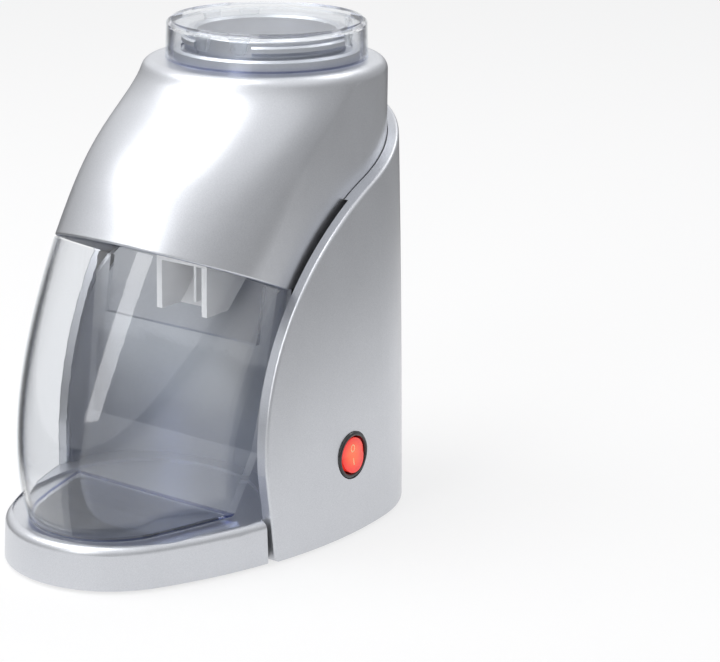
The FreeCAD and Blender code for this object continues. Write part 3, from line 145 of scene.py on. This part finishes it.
class StudioSettings(bpy.types.PropertyGroup):
    floor: colour("Floor", "Colour of the floor", (0.86, 0.86, 0.87))
    focal: FloatProperty(name="Focal length", description="Millimetres on a 36 mm sensor", min=10,
                         max=400, default=130.59)
    key: FloatProperty(name="Key", description="Power of the key light", subtype="POWER", min=0,
                       default=13.0)
    fill: FloatProperty(name="Fill", description="Power of the light above", subtype="POWER", min=0,
                        default=2.6)
    strip: FloatProperty(name="Strip", description="Power of the narrow window in front",
                         subtype="POWER", min=0, default=5.6)
    world: FloatProperty(name="World", description="Strength of the surrounding light", min=0,
                         default=0.5)
    floor_white: FloatProperty(name="Floor white", min=0, max=1, default=0.72,
                               description="Brightness added to the floor in view")


# ---------------------------------------------------------------- shader groups

def new_group(name, inputs, outputs):
    """A shader group with float or vector sockets: inputs are (name, kind, default)."""
    group = bpy.data.node_groups.new(name, "ShaderNodeTree")
    for label, kind, default in inputs:
        socket = group.interface.new_socket(name=label, in_out="INPUT",
                                            socket_type="NodeSocket" + kind)
        if default is not None:
            socket.default_value = default
    for label, kind in outputs:
        group.interface.new_socket(name=label, in_out="OUTPUT", socket_type="NodeSocket" + kind)
    start = group.nodes.new("NodeGroupInput")
    end = group.nodes.new("NodeGroupOutput")
    return group, start, end


def node(tree, kind, links=(), **settings):
    """Adds a node, sets its properties, and sets or links its inputs: (input, value or socket)."""
    item = tree.nodes.new("ShaderNode" + kind)
    for key, value in settings.items():
        setattr(item, key, value)
    for key, value in links:
        target = item.inputs[key]
        if isinstance(value, bpy.types.NodeSocket):
            tree.links.new(value, target)
        else:
            target.default_value = value
    return item


def maths(tree, operation, one, other=0.0, clamp=False):
    item = node(tree, "Math", ((0, one), (1, other)), operation=operation, use_clamp=clamp)
    return item.outputs[0]


def ramp(tree, value, low, high, to_low=0.0, to_high=1.0, smooth=True):
    kind = "SMOOTHSTEP" if smooth else "LINEAR"
    item = node(tree, "MapRange", (("Value", value), ("From Min", low), ("From Max", high),
                                   ("To Min", to_low), ("To Max", to_high)),
                interpolation_type=kind)
    return item.outputs["Result"]


def noise(tree, vector, scale, detail=2.0, roughness=0.5):
    item = node(tree, "TexNoise", (("Vector", vector), ("Scale", scale), ("Detail", detail),
                                   ("Roughness", roughness)))
    return item.outputs["Fac"]


def flake_group():
    """Fine metal flakes under a clear coat: Tone for the colour, Height for the bump."""
    group, start, end = new_group("Metal flake",
                                  [("Vector", "Vector", None), ("Size", "Float", 0.0002)],
                                  [("Tone", "Float"), ("Height", "Float")])
    scale = maths(group, "DIVIDE", 1.0, start.outputs["Size"])
    cells = node(group, "TexVoronoi", (("Vector", start.outputs["Vector"]), ("Scale", scale)))
    cells.feature = "F1"
    single = node(group, "SeparateColor", (("Color", cells.outputs["Color"]),)).outputs[0]
    cloud = noise(group, start.outputs["Vector"], 38.0, 3.0, 0.55)
    tone = maths(group, "ADD", maths(group, "MULTIPLY", single, 0.7),
                 maths(group, "MULTIPLY", cloud, 0.3))
    group.links.new(tone, end.inputs["Tone"])
    group.links.new(single, end.inputs["Height"])
    return group


def grain_group():
    """Moulded grain: a fine irregular height and a slow change of tone."""
    group, start, end = new_group("Moulded grain",
                                  [("Vector", "Vector", None), ("Size", "Float", 0.0004)],
                                  [("Height", "Float"), ("Tone", "Float")])
    scale = maths(group, "DIVIDE", 1.0, start.outputs["Size"])
    fine = noise(group, start.outputs["Vector"], scale, 3.0, 0.6)
    slow = noise(group, start.outputs["Vector"], 24.0, 4.0, 0.6)
    group.links.new(fine, end.inputs["Height"])
    group.links.new(ramp(group, slow, 0.35, 0.65), end.inputs["Tone"])
    return group


def handling_group():
    """Where hands and cloths have polished or smeared a surface, and a little settled dust."""
    group, start, end = new_group("Handling",
                                  [("Vector", "Vector", None), ("Smear", "Float", 0.5)],
                                  [("Smear", "Float"), ("Dust", "Float")])
    stretched = node(group, "Mapping", (("Vector", start.outputs["Vector"]),
                                        ("Rotation", (0.4, 0.3, 0.9)), ("Scale", (1.0, 3.2, 1.0))))
    wipes = noise(group, stretched.outputs[0], 30.0, 5.0, 0.62)
    smear = maths(group, "MULTIPLY", ramp(group, wipes, 0.42, 0.7), start.outputs["Smear"])
    facing = node(group, "NewGeometry").outputs["Normal"]
    up = node(group, "SeparateXYZ", (("Vector", facing),)).outputs["Z"]
    specks = noise(group, start.outputs["Vector"], 900.0, 4.0, 0.7)
    dust = maths(group, "MULTIPLY", ramp(group, up, 0.6, 1.0), ramp(group, specks, 0.55, 0.8))
    group.links.new(smear, end.inputs["Smear"])
    group.links.new(dust, end.inputs["Dust"])
    return group


def brushed_group():
    """Fine parallel lines left by grinding or drawing, along the X axis of the vector."""
    group, start, end = new_group("Brushed lines",
                                  [("Vector", "Vector", None), ("Pitch", "Float", 0.0002)],
                                  [("Height", "Float"), ("Tone", "Float")])
    scale = maths(group, "DIVIDE", 1.0, start.outputs["Pitch"])
    stretched = node(group, "Mapping", (("Vector", start.outputs["Vector"]),
                                        ("Scale", (0.03, 1.0, 1.0))))
    lines = noise(group, stretched.outputs[0], scale, 2.0, 0.5)
    group.links.new(lines, end.inputs["Height"])
    group.links.new(ramp(group, lines, 0.3, 0.7), end.inputs["Tone"])
    return group


GROUPS = {}


def shared(name):
    makers = {"flake": flake_group, "grain": grain_group, "handling": handling_group,
              "brushed": brushed_group}
    if name not in GROUPS:
        GROUPS[name] = makers[name]()
    return GROUPS[name]


# ---------------------------------------------------------------- surfaces

class Surface:
    """A node material around one Principled shader."""

    def __init__(self, name, **uniform):
        self.material = bpy.data.materials.new(name)
        self.material.use_nodes = True
        self.tree = self.material.node_tree
        self.tree.nodes.clear()
        self.output = node(self.tree, "OutputMaterial")
        self.shader = node(self.tree, "BsdfPrincipled")
        self.tree.links.new(self.shader.outputs[0], self.output.inputs["Surface"])
        self.place = node(self.tree, "TexCoord").outputs["Object"]
        for key, value in uniform.items():
            self.set(key.replace("_", " ").title().replace("Ior", "IOR"), value)

    def set(self, key, value):
        if isinstance(value, bpy.types.NodeSocket):
            self.tree.links.new(value, self.shader.inputs[key])
        else:
            if isinstance(value, (tuple, bpy.types.bpy_prop_array)) and len(value) == 3:
                value = (*value, 1.0)
            self.shader.inputs[key].default_value = value

    def effect(self, name, **values):
        """One of the shared groups, fed with the object's coordinates unless told otherwise."""
        item = self.tree.nodes.new("ShaderNodeGroup")
        item.node_tree = shared(name)
        self.tree.links.new(values.pop("vector", self.place), item.inputs["Vector"])
        for key, value in values.items():
            item.inputs[key.title()].default_value = value
        return item.outputs

    def mixed(self, factor, one, other):
        item = node(self.tree, "Mix", data_type="RGBA")
        for index, value in ((0, factor), (6, one), (7, other)):
            if isinstance(value, bpy.types.NodeSocket):
                self.tree.links.new(value, item.inputs[index])
            else:
                value = (*value, 1.0) if index else value
                item.inputs[index].default_value = value
        return item.outputs[2]

    def bump(self, height, distance, strength=1.0):
        item = node(self.tree, "Bump", (("Height", height), ("Distance", distance),
                                        ("Strength", strength)))
        self.tree.links.new(item.outputs[0], self.shader.inputs["Normal"])

    def let_lamps_through(self, tint, gathered):
        """Lamps reach what is behind the clear wall, and light caught in it leaves tinted."""
        path = node(self.tree, "LightPath")
        trapped = maths(self.tree, "GREATER_THAN", path.outputs["Glossy Depth"],
                        MOST_REFLECTIONS)
        open_air = node(self.tree, "BsdfTransparent",
                        (("Color", self.mixed(trapped, tint, gathered)),))
        deep = maths(self.tree, "GREATER_THAN", path.outputs["Transmission Depth"],
                     MOST_TRANSMISSIONS)
        facing = node(self.tree, "LayerWeight", (("Blend", 0.5),)).outputs["Facing"]
        edge_on = maths(self.tree, "MAXIMUM", ramp(self.tree, facing, 0.62, 0.92, 0.0, 0.93), deep)
        straight = maths(self.tree, "MAXIMUM", path.outputs["Is Shadow Ray"],
                         maths(self.tree, "MAXIMUM", edge_on, trapped))
        both = node(self.tree, "MixShader", ((0, straight),
                                             (1, self.shader.outputs[0]), (2, open_air.outputs[0])))
        self.tree.links.new(both.outputs[0], self.output.inputs["Surface"])


def silver_paint(name, settings, flat=None, grain=0.6):
    flat = tuple(flat or settings.silver)
    dark = tuple(c * d / b for c, d, b in zip(flat, settings.silver_dark, settings.silver))
    surface = Surface(name, metallic=settings.paint_metallic, coat_weight=0.15, coat_roughness=0.25)
    flake = surface.effect("flake", size=0.00022)
    hand = surface.effect("handling", smear=0.5)
    grit = surface.effect("grain", size=settings.grain_size)
    tree = surface.tree
    base = surface.mixed(flake["Tone"], dark, flat)
    surface.set("Base Color", surface.mixed(maths(tree, "MULTIPLY", hand["Dust"], 0.12), base,
                                            (0.7, 0.69, 0.66)))
    rough = maths(tree, "ADD", settings.paint_roughness,
                  maths(tree, "MULTIPLY", hand["Smear"], 0.06))
    surface.set("Roughness", maths(tree, "ADD", rough, maths(tree, "MULTIPLY", grit["Tone"], 0.03)))
    surface.bump(grit["Height"], 0.00003, grain)
    return surface.material


def clear_plastic(name, settings, edges, frost=None):
    """Clear moulding: edges and frost are made from the surface's x, y, z by functions."""
    surface = Surface(name, transmission_weight=1.0, ior=settings.refraction, coat_weight=1.0,
                      coat_roughness=0.02)
    hand = surface.effect("handling", smear=0.6)
    tree = surface.tree
    spot = node(tree, "SeparateXYZ", (("Vector", surface.place),)).outputs
    # The edge masks mix in the edge tint: the edges' own tint darkened into painted shade.
    surface.set("Base Color", surface.mixed(edges(tree, spot), tuple(settings.tint),
                                            tuple(settings.edge)))
    rough = maths(tree, "ADD", settings.polish, maths(tree, "MULTIPLY", hand["Smear"], 0.05))
    if frost:
        mask = frost(tree, spot)
        rough = maths(tree, "MAXIMUM", rough, maths(tree, "MULTIPLY", mask, 0.5))
        grit = surface.effect("grain", size=0.0009)
        surface.bump(maths(tree, "MULTIPLY", grit["Height"], mask), 0.0006)
    surface.set("Roughness", rough)
    surface.let_lamps_through(SHADOW_TINT, TRAPPED_TINT)
    return surface.material


def plastic(name, shade, dark, roughness=0.45, size=0.0003, depth=0.00003, **uniform):
    surface = Surface(name, **uniform)
    grit = surface.effect("grain", size=size)
    hand = surface.effect("handling", smear=0.5)
    tree = surface.tree
    surface.set("Base Color", surface.mixed(grit["Tone"], dark, shade))
    surface.set("Roughness", maths(tree, "ADD", roughness,
                                   maths(tree, "MULTIPLY", hand["Smear"], 0.12)))
    surface.bump(grit["Height"], depth, 0.7)
    return surface.material


def metal(name, shade, dark, roughness=0.28, pitch=0.0002, depth=0.00001, turn=(0, 0, 0)):
    surface = Surface(name, metallic=1.0)
    turned = node(surface.tree, "Mapping", (("Vector", surface.place), ("Rotation", turn)))
    lines = surface.effect("brushed", vector=turned.outputs[0], pitch=pitch)
    hand = surface.effect("handling", smear=0.5)
    tree = surface.tree
    surface.set("Base Color", surface.mixed(lines["Tone"], dark, shade))
    surface.set("Roughness", maths(tree, "ADD", roughness,
                                   maths(tree, "MULTIPLY", hand["Smear"], 0.14)))
    surface.bump(lines["Height"], depth, 0.6)
    return surface.material


def dress(material, *nodes):
    """Gives CAD nodes a material."""
    for name in nodes:
        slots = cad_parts[name].data.materials
        slots.clear()
        slots.append(material)


# ---------------------------------------------------------------- modelling tools

def nothing_selected():
    bpy.ops.object.select_all(action="DESELECT")


def named(name):
    """The object that the last primitive operator made, with its name and its mesh's."""
    item = bpy.context.object
    item.name = name
    item.data.name = name
    return item


def place_applied(item):
    nothing_selected()
    item.select_set(True)
    bpy.context.view_layer.objects.active = item
    bpy.ops.object.transform_apply(location=True, rotation=True, scale=True)


def merged_copy(source, name):
    """A copy of a CAD node as a closed mesh with flat faces in one piece."""
    nothing_selected()
    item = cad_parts[source].copy()
    item.data = item.data.copy()
    item.parent = None
    bpy.context.scene.collection.objects.link(item)
    item.name = name
    item.data.name = name
    item.select_set(True)
    bpy.context.view_layer.objects.active = item
    bpy.ops.object.mode_set(mode="EDIT")
    bpy.ops.mesh.select_all(action="SELECT")
    bpy.ops.mesh.remove_doubles(threshold=1e-6)
    bpy.ops.mesh.dissolve_limited(angle_limit=math.radians(0.5))
    bpy.ops.object.mode_set(mode="OBJECT")
    return item


def finished(item, body, material, smooth=30):
    """Last steps of a new piece: shading, material, slot and body."""
    place_applied(item)
    bpy.ops.object.shade_smooth_by_angle(angle=math.radians(smooth))
    item.data.materials.clear()
    item.data.materials.append(material)
    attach(item, body)
    return item


# ---------------------------------------------------------------- operators

class PieceOperator:
    bl_options = {"REGISTER", "UNDO"}


class ICE_OT_shells(PieceOperator, bpy.types.Operator):
    """Paints the housing, head and plinth, and finishes the chamber, roof and bottom plate"""
    bl_idname = "ice.shells"
    bl_label = "Shells"

    def execute(self, context):
        settings = context.scene.ice_shells
        paint = silver_paint("Silver paint", settings)
        dress(paint, "rear_housing", "head_housing", "base_plinth", "feed_neck")
        # The chamber takes a darker copy of the silver paint: painted shade for the recess.
        dress(silver_paint("Chamber silver, painted shade", settings, settings.chamber, 0.3), "chamber_liner")
        # The chamber roof is given a dark grey: painted shade inside the chamber.
        dress(plastic("Chamber roof grey, painted shade", (0.42, 0.43, 0.45), (0.36, 0.37, 0.39)), "chamber_roof")
        shade = tuple(settings.underside)
        dress(plastic("Bottom plate", shade, tuple(0.7 * c for c in shade), 0.55, 0.0005),
              "bottom_plate")
        return {"FINISHED"}


class ICE_OT_clear(PieceOperator, bpy.types.Operator):
    """Makes the bowl and the lid of clear plastic"""
    bl_idname = "ice.clear"
    bl_label = "Clear bowl and lid"

    def execute(self, context):
        settings = context.scene.ice_clear
        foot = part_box("ice_bowl")[0][2]

        # Painted shade: the lowest band of the bowl's upright walls takes the dark edge tint.
        def bowl_edge_shade(tree, spot):
            normal = node(tree, "NewGeometry").outputs["Normal"]
            facing = node(tree, "SeparateXYZ", (("Vector", normal),))
            upright = ramp(tree, maths(tree, "ABSOLUTE", facing.outputs["Z"]), 0.75, 0.92, 1.0, 0.0)
            return maths(tree, "MULTIPLY", upright,
                         ramp(tree, spot["Z"], foot + BOWL_FOOT_BAND[0], foot + BOWL_FOOT_BAND[1],
                              1.0, 0.0))

        low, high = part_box("lid")
        middle = (low + high) / 2
        outside = (high[0] - low[0]) / 2

        def from_axis(tree, spot):
            across = maths(tree, "MULTIPLY", spot["X"], spot["X"])
            along = maths(tree, "SUBTRACT", spot["Y"], middle[1])
            square = maths(tree, "ADD", across, maths(tree, "MULTIPLY", along, along))
            return maths(tree, "SQRT", square)

        # Painted shade: the lid's lower rim band and its top outer corner take the dark edge tint.
        def lid_edge_shade(tree, spot):
            lower = ramp(tree, spot["Z"], low[2] + LID_RIM_BAND[0], low[2] + LID_RIM_BAND[1],
                         0.7, 0.0)
            corner = maths(tree, "MULTIPLY",
                           ramp(tree, spot["Z"], high[2] - LID_CORNER_DOWN[0],
                                high[2] - LID_CORNER_DOWN[1]),
                           ramp(tree, from_axis(tree, spot), outside - LID_CORNER_IN[0],
                                outside - LID_CORNER_IN[1]))
            return maths(tree, "MAXIMUM", lower, maths(tree, "MULTIPLY", corner, 0.55))

        def lid_frost(tree, spot):
            inner = ramp(tree, from_axis(tree, spot), outside - LID_LUGS_IN[0],
                         outside - LID_LUGS_IN[1], 1.0, 0.0)
            return maths(tree, "MULTIPLY", inner,
                         ramp(tree, spot["Z"], high[2] - LID_LUGS_DOWN[0],
                              high[2] - LID_LUGS_DOWN[1], 1.0, 0.0))

        dress(clear_plastic("Clear bowl plastic", settings, bowl_edge_shade), "ice_bowl")
        dress(clear_plastic("Clear lid plastic", settings, lid_edge_shade, lid_frost), "lid")
        return {"FINISHED"}


class ICE_OT_crusher(PieceOperator, bpy.types.Operator):
    """Finishes the crushing chamber, chute, blades, shaft and bushes"""
    bl_idname = "ice.crusher"
    bl_label = "Crusher"

    def execute(self, context):
        settings = context.scene.ice_drive
        steel = tuple(settings.steel)
        dark = tuple(0.8 * c for c in steel)
        dress(plastic("Chute plastic", (0.9, 0.9, 0.905), (0.84, 0.84, 0.85), 0.4), "ice_chute",
              "crusher_chamber")
        dress(metal("Blade steel", steel, dark), "crusher_blades", "fixed_blades")
        dress(metal("Shaft steel", steel, dark, 0.22, 0.0001), "crusher_shaft", "shaft_spacers",
              "motor_shaft", "compound_pin")
        bronze = tuple(settings.bronze)
        dress(metal("Sintered bronze", bronze, tuple(0.7 * c for c in bronze), 0.4), "shaft_bushes")
        return {"FINISHED"}


class ICE_OT_drive(PieceOperator, bpy.types.Operator):
    """Finishes the gears, gearbox, motor and circuit board"""
    bl_idname = "ice.drive"
    bl_label = "Drive"

    def execute(self, context):
        settings = context.scene.ice_drive
        nylon = tuple(settings.nylon)
        dress(plastic("Nylon", nylon, tuple(0.9 * c for c in nylon), 0.4), "compound_gear",
              "crusher_gear")
        brass = tuple(settings.brass)
        dress(metal("Brass", brass, tuple(0.85 * c for c in brass), 0.25), "motor_pinion")
        dress(plastic("Gearbox plastic", (0.06, 0.06, 0.065), (0.045, 0.045, 0.05), 0.5),
              "gearbox_cover")
        dress(metal("Plated sheet", (0.55, 0.55, 0.53), (0.45, 0.45, 0.42), 0.35), "gearbox_plate",
              "motor_can")
        dress(plastic("Motor cap", (0.05, 0.05, 0.055), (0.03, 0.03, 0.035)), "motor_end_cap")
        board = tuple(settings.board)
        dress(plastic("Circuit board", board, tuple(0.7 * c for c in board), 0.35),
              "rectifier_board")
        return {"FINISHED"}


class ICE_OT_switch(PieceOperator, bpy.types.Operator):
    """Finishes the switch and adds the I and O marks on its rocker"""
    bl_idname = "ice.switch"
    bl_label = "Switch"

    def execute(self, context):
        settings = context.scene.ice_switch
        bezel = tuple(settings.bezel)
        dress(plastic("Bezel plastic", bezel, tuple(0.6 * c for c in bezel), 0.2, coat_weight=0.4),
              "switch_body")
        surface = Surface("Red rocker", coat_weight=0.5, transmission_weight=0.15,
                          emission_strength=settings.glow_strength)
        grit = surface.effect("grain", size=0.0004)
        red = tuple(settings.rocker)
        surface.set("Base Color", surface.mixed(grit["Tone"], (0.6, 0.02, 0.015), red))
        low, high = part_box("rocker")
        middle = (low + high) / 2
        away = node(surface.tree, "VectorMath", ((0, surface.place), (1, tuple(middle))),
                    operation="DISTANCE").outputs["Value"]
        glow = ramp(surface.tree, away, 0.002, 0.009, 1.0, 0.0)
        surface.set("Emission Color", surface.mixed(glow, red, tuple(settings.glow)))
        surface.set("Roughness", maths(surface.tree, "ADD", 0.12,
                                       maths(surface.tree, "MULTIPLY", grit["Tone"], 0.08)))
        self.rocker(surface.material)
        self.marks()
        return {"FINISHED"}

    def rocker(self, material):
        """The dished cap, from the CAD one's mesh, with its edges eased"""
        cap = merged_copy("rocker", "red_rocker")
        ease = cap.modifiers.new("ease", "BEVEL")
        ease.width = ROCKER_EDGE
        ease.segments = 3
        ease.limit_method = "ANGLE"
        ease.angle_limit = math.radians(35)
        nothing_selected()
        cap.select_set(True)
        bpy.context.view_layer.objects.active = cap
        bpy.ops.object.modifier_apply(modifier=ease.name)
        finished(cap, "rocker_cap", material, 40)
        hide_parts("rocker")

    def marks(self):
        """Raised ring and bar on the two halves of the rocker's face"""
        low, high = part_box("rocker")
        middle = (low + high) / 2
        surface = Surface("Pale mark", coat_weight=0.3)
        grit = surface.effect("grain", size=0.0002)
        surface.set("Base Color", surface.mixed(grit["Tone"], (0.95, 0.5, 0.28), (1.0, 0.62, 0.4)))
        surface.set("Roughness", 0.35)
        surface.set("Emission Color", (1.0, 0.5, 0.22))
        surface.set("Emission Strength", 0.35)
        nothing_selected()
        bpy.ops.mesh.primitive_torus_add(major_radius=RING_RADIUS, minor_radius=RING_STROKE,
                                         major_segments=40, minor_segments=10,
                                         location=(RING_FACE, middle[1], middle[2] + RING_ABOVE),
                                         rotation=(0, math.radians(90), 0))
        ring = named("mark_ring")
        ring.scale = RING_STRETCH
        finished(ring, "rocker_cap", surface.material, 50)
        nothing_selected()
        bpy.ops.mesh.primitive_cube_add(size=1,
                                        location=(BAR_FACE, middle[1], middle[2] - BAR_BELOW),
                                        rotation=(0, math.radians(BAR_LEAN), 0), scale=BAR_SIZE)
        bar = named("mark_bar")
        place_applied(bar)
        bpy.ops.object.mode_set(mode="EDIT")
        bpy.ops.mesh.select_all(action="SELECT")
        bpy.ops.mesh.bevel(offset=BAR_EDGE, segments=3, affect="EDGES")
        bpy.ops.object.mode_set(mode="OBJECT")
        finished(bar, "rocker_cap", surface.material, 50)


class ICE_OT_fasteners(PieceOperator, bpy.types.Operator):
    """Finishes the screws, feet and cord gland"""
    bl_idname = "ice.fasteners"
    bl_label = "Screws, feet and gland"

    def execute(self, context):
        dress(metal("Zinc plate", (0.6, 0.6, 0.58), (0.5, 0.5, 0.47), 0.3), "base_screws",
              "gearbox_screws", "motor_screws")
        dress(plastic("Rubber", (0.03, 0.03, 0.03), (0.02, 0.02, 0.02), 0.75, 0.0006, 0.00006),
              "rubber_feet", "cord_gland")
        return {"FINISHED"}


class ICE_OT_studio(PieceOperator, bpy.types.Operator):
    """Sets the floor, the soft light and the camera"""
    bl_idname = "ice.studio"
    bl_label = "Studio"

    def execute(self, context):
        settings = context.scene.ice_studio
        nothing_selected()
        bpy.ops.mesh.primitive_circle_add(vertices=96, radius=FLOOR_RADIUS, fill_type="NGON")
        floor = named("studio_floor")
        surface = Surface("Pale floor")
        tree = surface.tree
        path = node(tree, "LightPath")
        seen = maths(tree, "ADD", path.outputs["Is Camera Ray"], path.outputs["Is Glossy Ray"])
        seen = maths(tree, "ADD", seen, path.outputs["Is Transmission Ray"], clamp=True)
        white = node(tree, "Emission", (("Color", (1, 1, 1, 1)),
                                        ("Strength", settings.floor_white)))
        shade = node(tree, "BsdfDiffuse", (("Color", (0.3, 0.3, 0.303, 1)),))
        both = node(tree, "AddShader", ((0, shade.outputs[0]), (1, white.outputs[0])))
        # In reflections the floor is painted darker away from the object and to its left: painted
        # shade for the reflections in the metal and the chamber.
        spot = node(tree, "SeparateXYZ", (("Vector", surface.place),)).outputs
        away = node(tree, "VectorMath", ((0, surface.place),), operation="LENGTH").outputs["Value"]
        dim = maths(tree, "MAXIMUM", ramp(tree, away, 0.22, 0.85, 0.0, 0.73),
                    ramp(tree, spot["X"], -0.09, -0.2, 0.0, 0.97))
        gloss = node(tree, "Emission", (("Color", (1, 1, 1, 1)), ("Strength", 0.12)))
        bounced = maths(tree, "GREATER_THAN", path.outputs["Glossy Depth"], 0.5)
        faded = node(tree, "MixShader", ((0, maths(tree, "MULTIPLY", dim, bounced)),
                                         (1, both.outputs[0]), (2, gloss.outputs[0])))
        chosen = node(tree, "MixShader", ((0, seen), (1, surface.shader.outputs[0]),
                                          (2, faded.outputs[0])))
        tree.links.new(chosen.outputs[0], surface.output.inputs["Surface"])
        cloud = noise(tree, surface.place, 3.0)
        surface.set("Base Color", surface.mixed(cloud, tuple(settings.floor),
                                                tuple(min(1, c * 1.02) for c in settings.floor)))
        surface.set("Roughness", 0.6)
        floor.data.materials.append(surface.material)
        self.lights(context, settings)
        self.camera(context, settings)
        context.scene.view_settings.view_transform = "Standard"
        return {"FINISHED"}

    def lights(self, context, settings):
        """Three soft windows, and a surround that is brighter above and behind on the left"""
        lamps = [
            # name, place, aim, width, height, power
            ("key_window", (-0.52, -0.46, 1.50), (0, 0, 0.15), 1.2, 1.25, settings.key),
            ("top_window", (0.16, 1.12, 1.50), (0, 0, 0.1), 0.8, 0.5, settings.fill),
            ("front_window", (0.10, -1.7, 0.95), (0, 0, 0.1), 0.5, 1.3, settings.strip),
        ]
        for name, place, aim, width, height, power in lamps:
            lamp = bpy.data.lights.new(name, "AREA")
            lamp.shape = "RECTANGLE"
            lamp.size = width
            lamp.size_y = height
            lamp.energy = power
            item = bpy.data.objects.new(name, lamp)
            context.scene.collection.objects.link(item)
            item.location = place
            item.rotation_euler = (Vector(aim) - Vector(place)).to_track_quat("-Z", "Y").to_euler()
        world = bpy.data.worlds.new("studio_world")
        world.use_nodes = True
        tree = world.node_tree
        tree.nodes.clear()
        path = node(tree, "LightPath")
        seen = maths(tree, "ADD", path.outputs["Is Camera Ray"],
                     path.outputs["Is Transmission Ray"], True)
        direction = node(tree, "TexCoord").outputs["Generated"]
        spot = node(tree, "SeparateXYZ", (("Vector", direction),)).outputs
        lean = maths(tree, "SUBTRACT", spot["Z"], maths(tree, "MULTIPLY", spot["X"], 0.15))
        card = node(tree, "VectorMath", ((0, direction), (1, CARD_DIRECTION)),
                    operation="DOT_PRODUCT").outputs["Value"]
        card = maths(tree, "MULTIPLY", ramp(tree, card, 0.8, 0.93, 0.0, 1.0),
                     ramp(tree, spot["Z"], 0.06, 0.16))
        tone = maths(tree, "MAXIMUM", ramp(tree, lean, 0.12, 0.8, 0.48, 1.0), card)
        level = ramp(tree, path.outputs["Is Glossy Ray"], 0.0, 1.0, settings.world, 1.0, False)
        strength = maths(tree, "MULTIPLY", tone, level)
        soft = node(tree, "Background", (("Color", (0.985, 0.99, 1.0, 1)), ("Strength", strength)))
        backdrop = node(tree, "Background", (("Color", (1, 1, 1, 1)), ("Strength", 1.0)))
        both = node(tree, "MixShader", ((0, seen), (1, soft.outputs[0]), (2, backdrop.outputs[0])))
        output = node(tree, "OutputWorld", (("Surface", both.outputs[0]),))
        output.is_active_output = True
        context.scene.world = world

    def camera(self, context, settings):
        """A long lens in front, to the right and a little above"""
        data = bpy.data.cameras.new("studio_camera")
        data.sensor_width = 36
        data.lens = settings.focal
        data.shift_x = CAMERA_SHIFT[0]
        data.shift_y = CAMERA_SHIFT[1]
        data.clip_end = 20
        item = bpy.data.objects.new("studio_camera", data)
        context.scene.collection.objects.link(item)
        place = Vector(CAMERA_PLACE)
        aim = Vector(CAMERA_AIM)
        item.location = place
        item.rotation_euler = (aim - place).to_track_quat("-Z", "Y").to_euler()
        context.scene.camera = item


STEPS = [ICE_OT_shells, ICE_OT_clear, ICE_OT_crusher, ICE_OT_drive, ICE_OT_switch, ICE_OT_fasteners,
         ICE_OT_studio]


class ICE_PT_panel(bpy.types.Panel):
    """The steps in order, with their sizes and colours"""
    bl_idname = "ICE_PT_panel"
    bl_label = "Ice Crusher"
    bl_space_type = "VIEW_3D"
    bl_region_type = "UI"
    bl_category = "Ice Crusher"

    def draw(self, context):
        layout = self.layout
        for step in STEPS:
            layout.operator(step.bl_idname)
        for group in SETTINGS:
            settings = getattr(context.scene, group)
            box = layout.box()
            for key in settings.bl_rna.properties.keys():
                if key not in {"rna_type", "name"}:
                    box.prop(settings, key)


SETTINGS = {"ice_shells": ShellSettings, "ice_clear": ClearSettings, "ice_switch": SwitchSettings,
            "ice_drive": DriveSettings, "ice_studio": StudioSettings}
CLASSES = list(SETTINGS.values()) + STEPS + [ICE_PT_panel]


def register():
    for item in CLASSES:
        bpy.utils.register_class(item)
    for name, item in SETTINGS.items():
        setattr(bpy.types.Scene, name, PointerProperty(type=item))


def unregister():
    for name in SETTINGS:
        delattr(bpy.types.Scene, name)
    for item in reversed(CLASSES):
        bpy.utils.unregister_class(item)


def main():
    register()
    for step in STEPS:
        family, name = step.bl_idname.split(".")
        getattr(getattr(bpy.ops, family), name)()


if __name__ == "__main__":
    main()
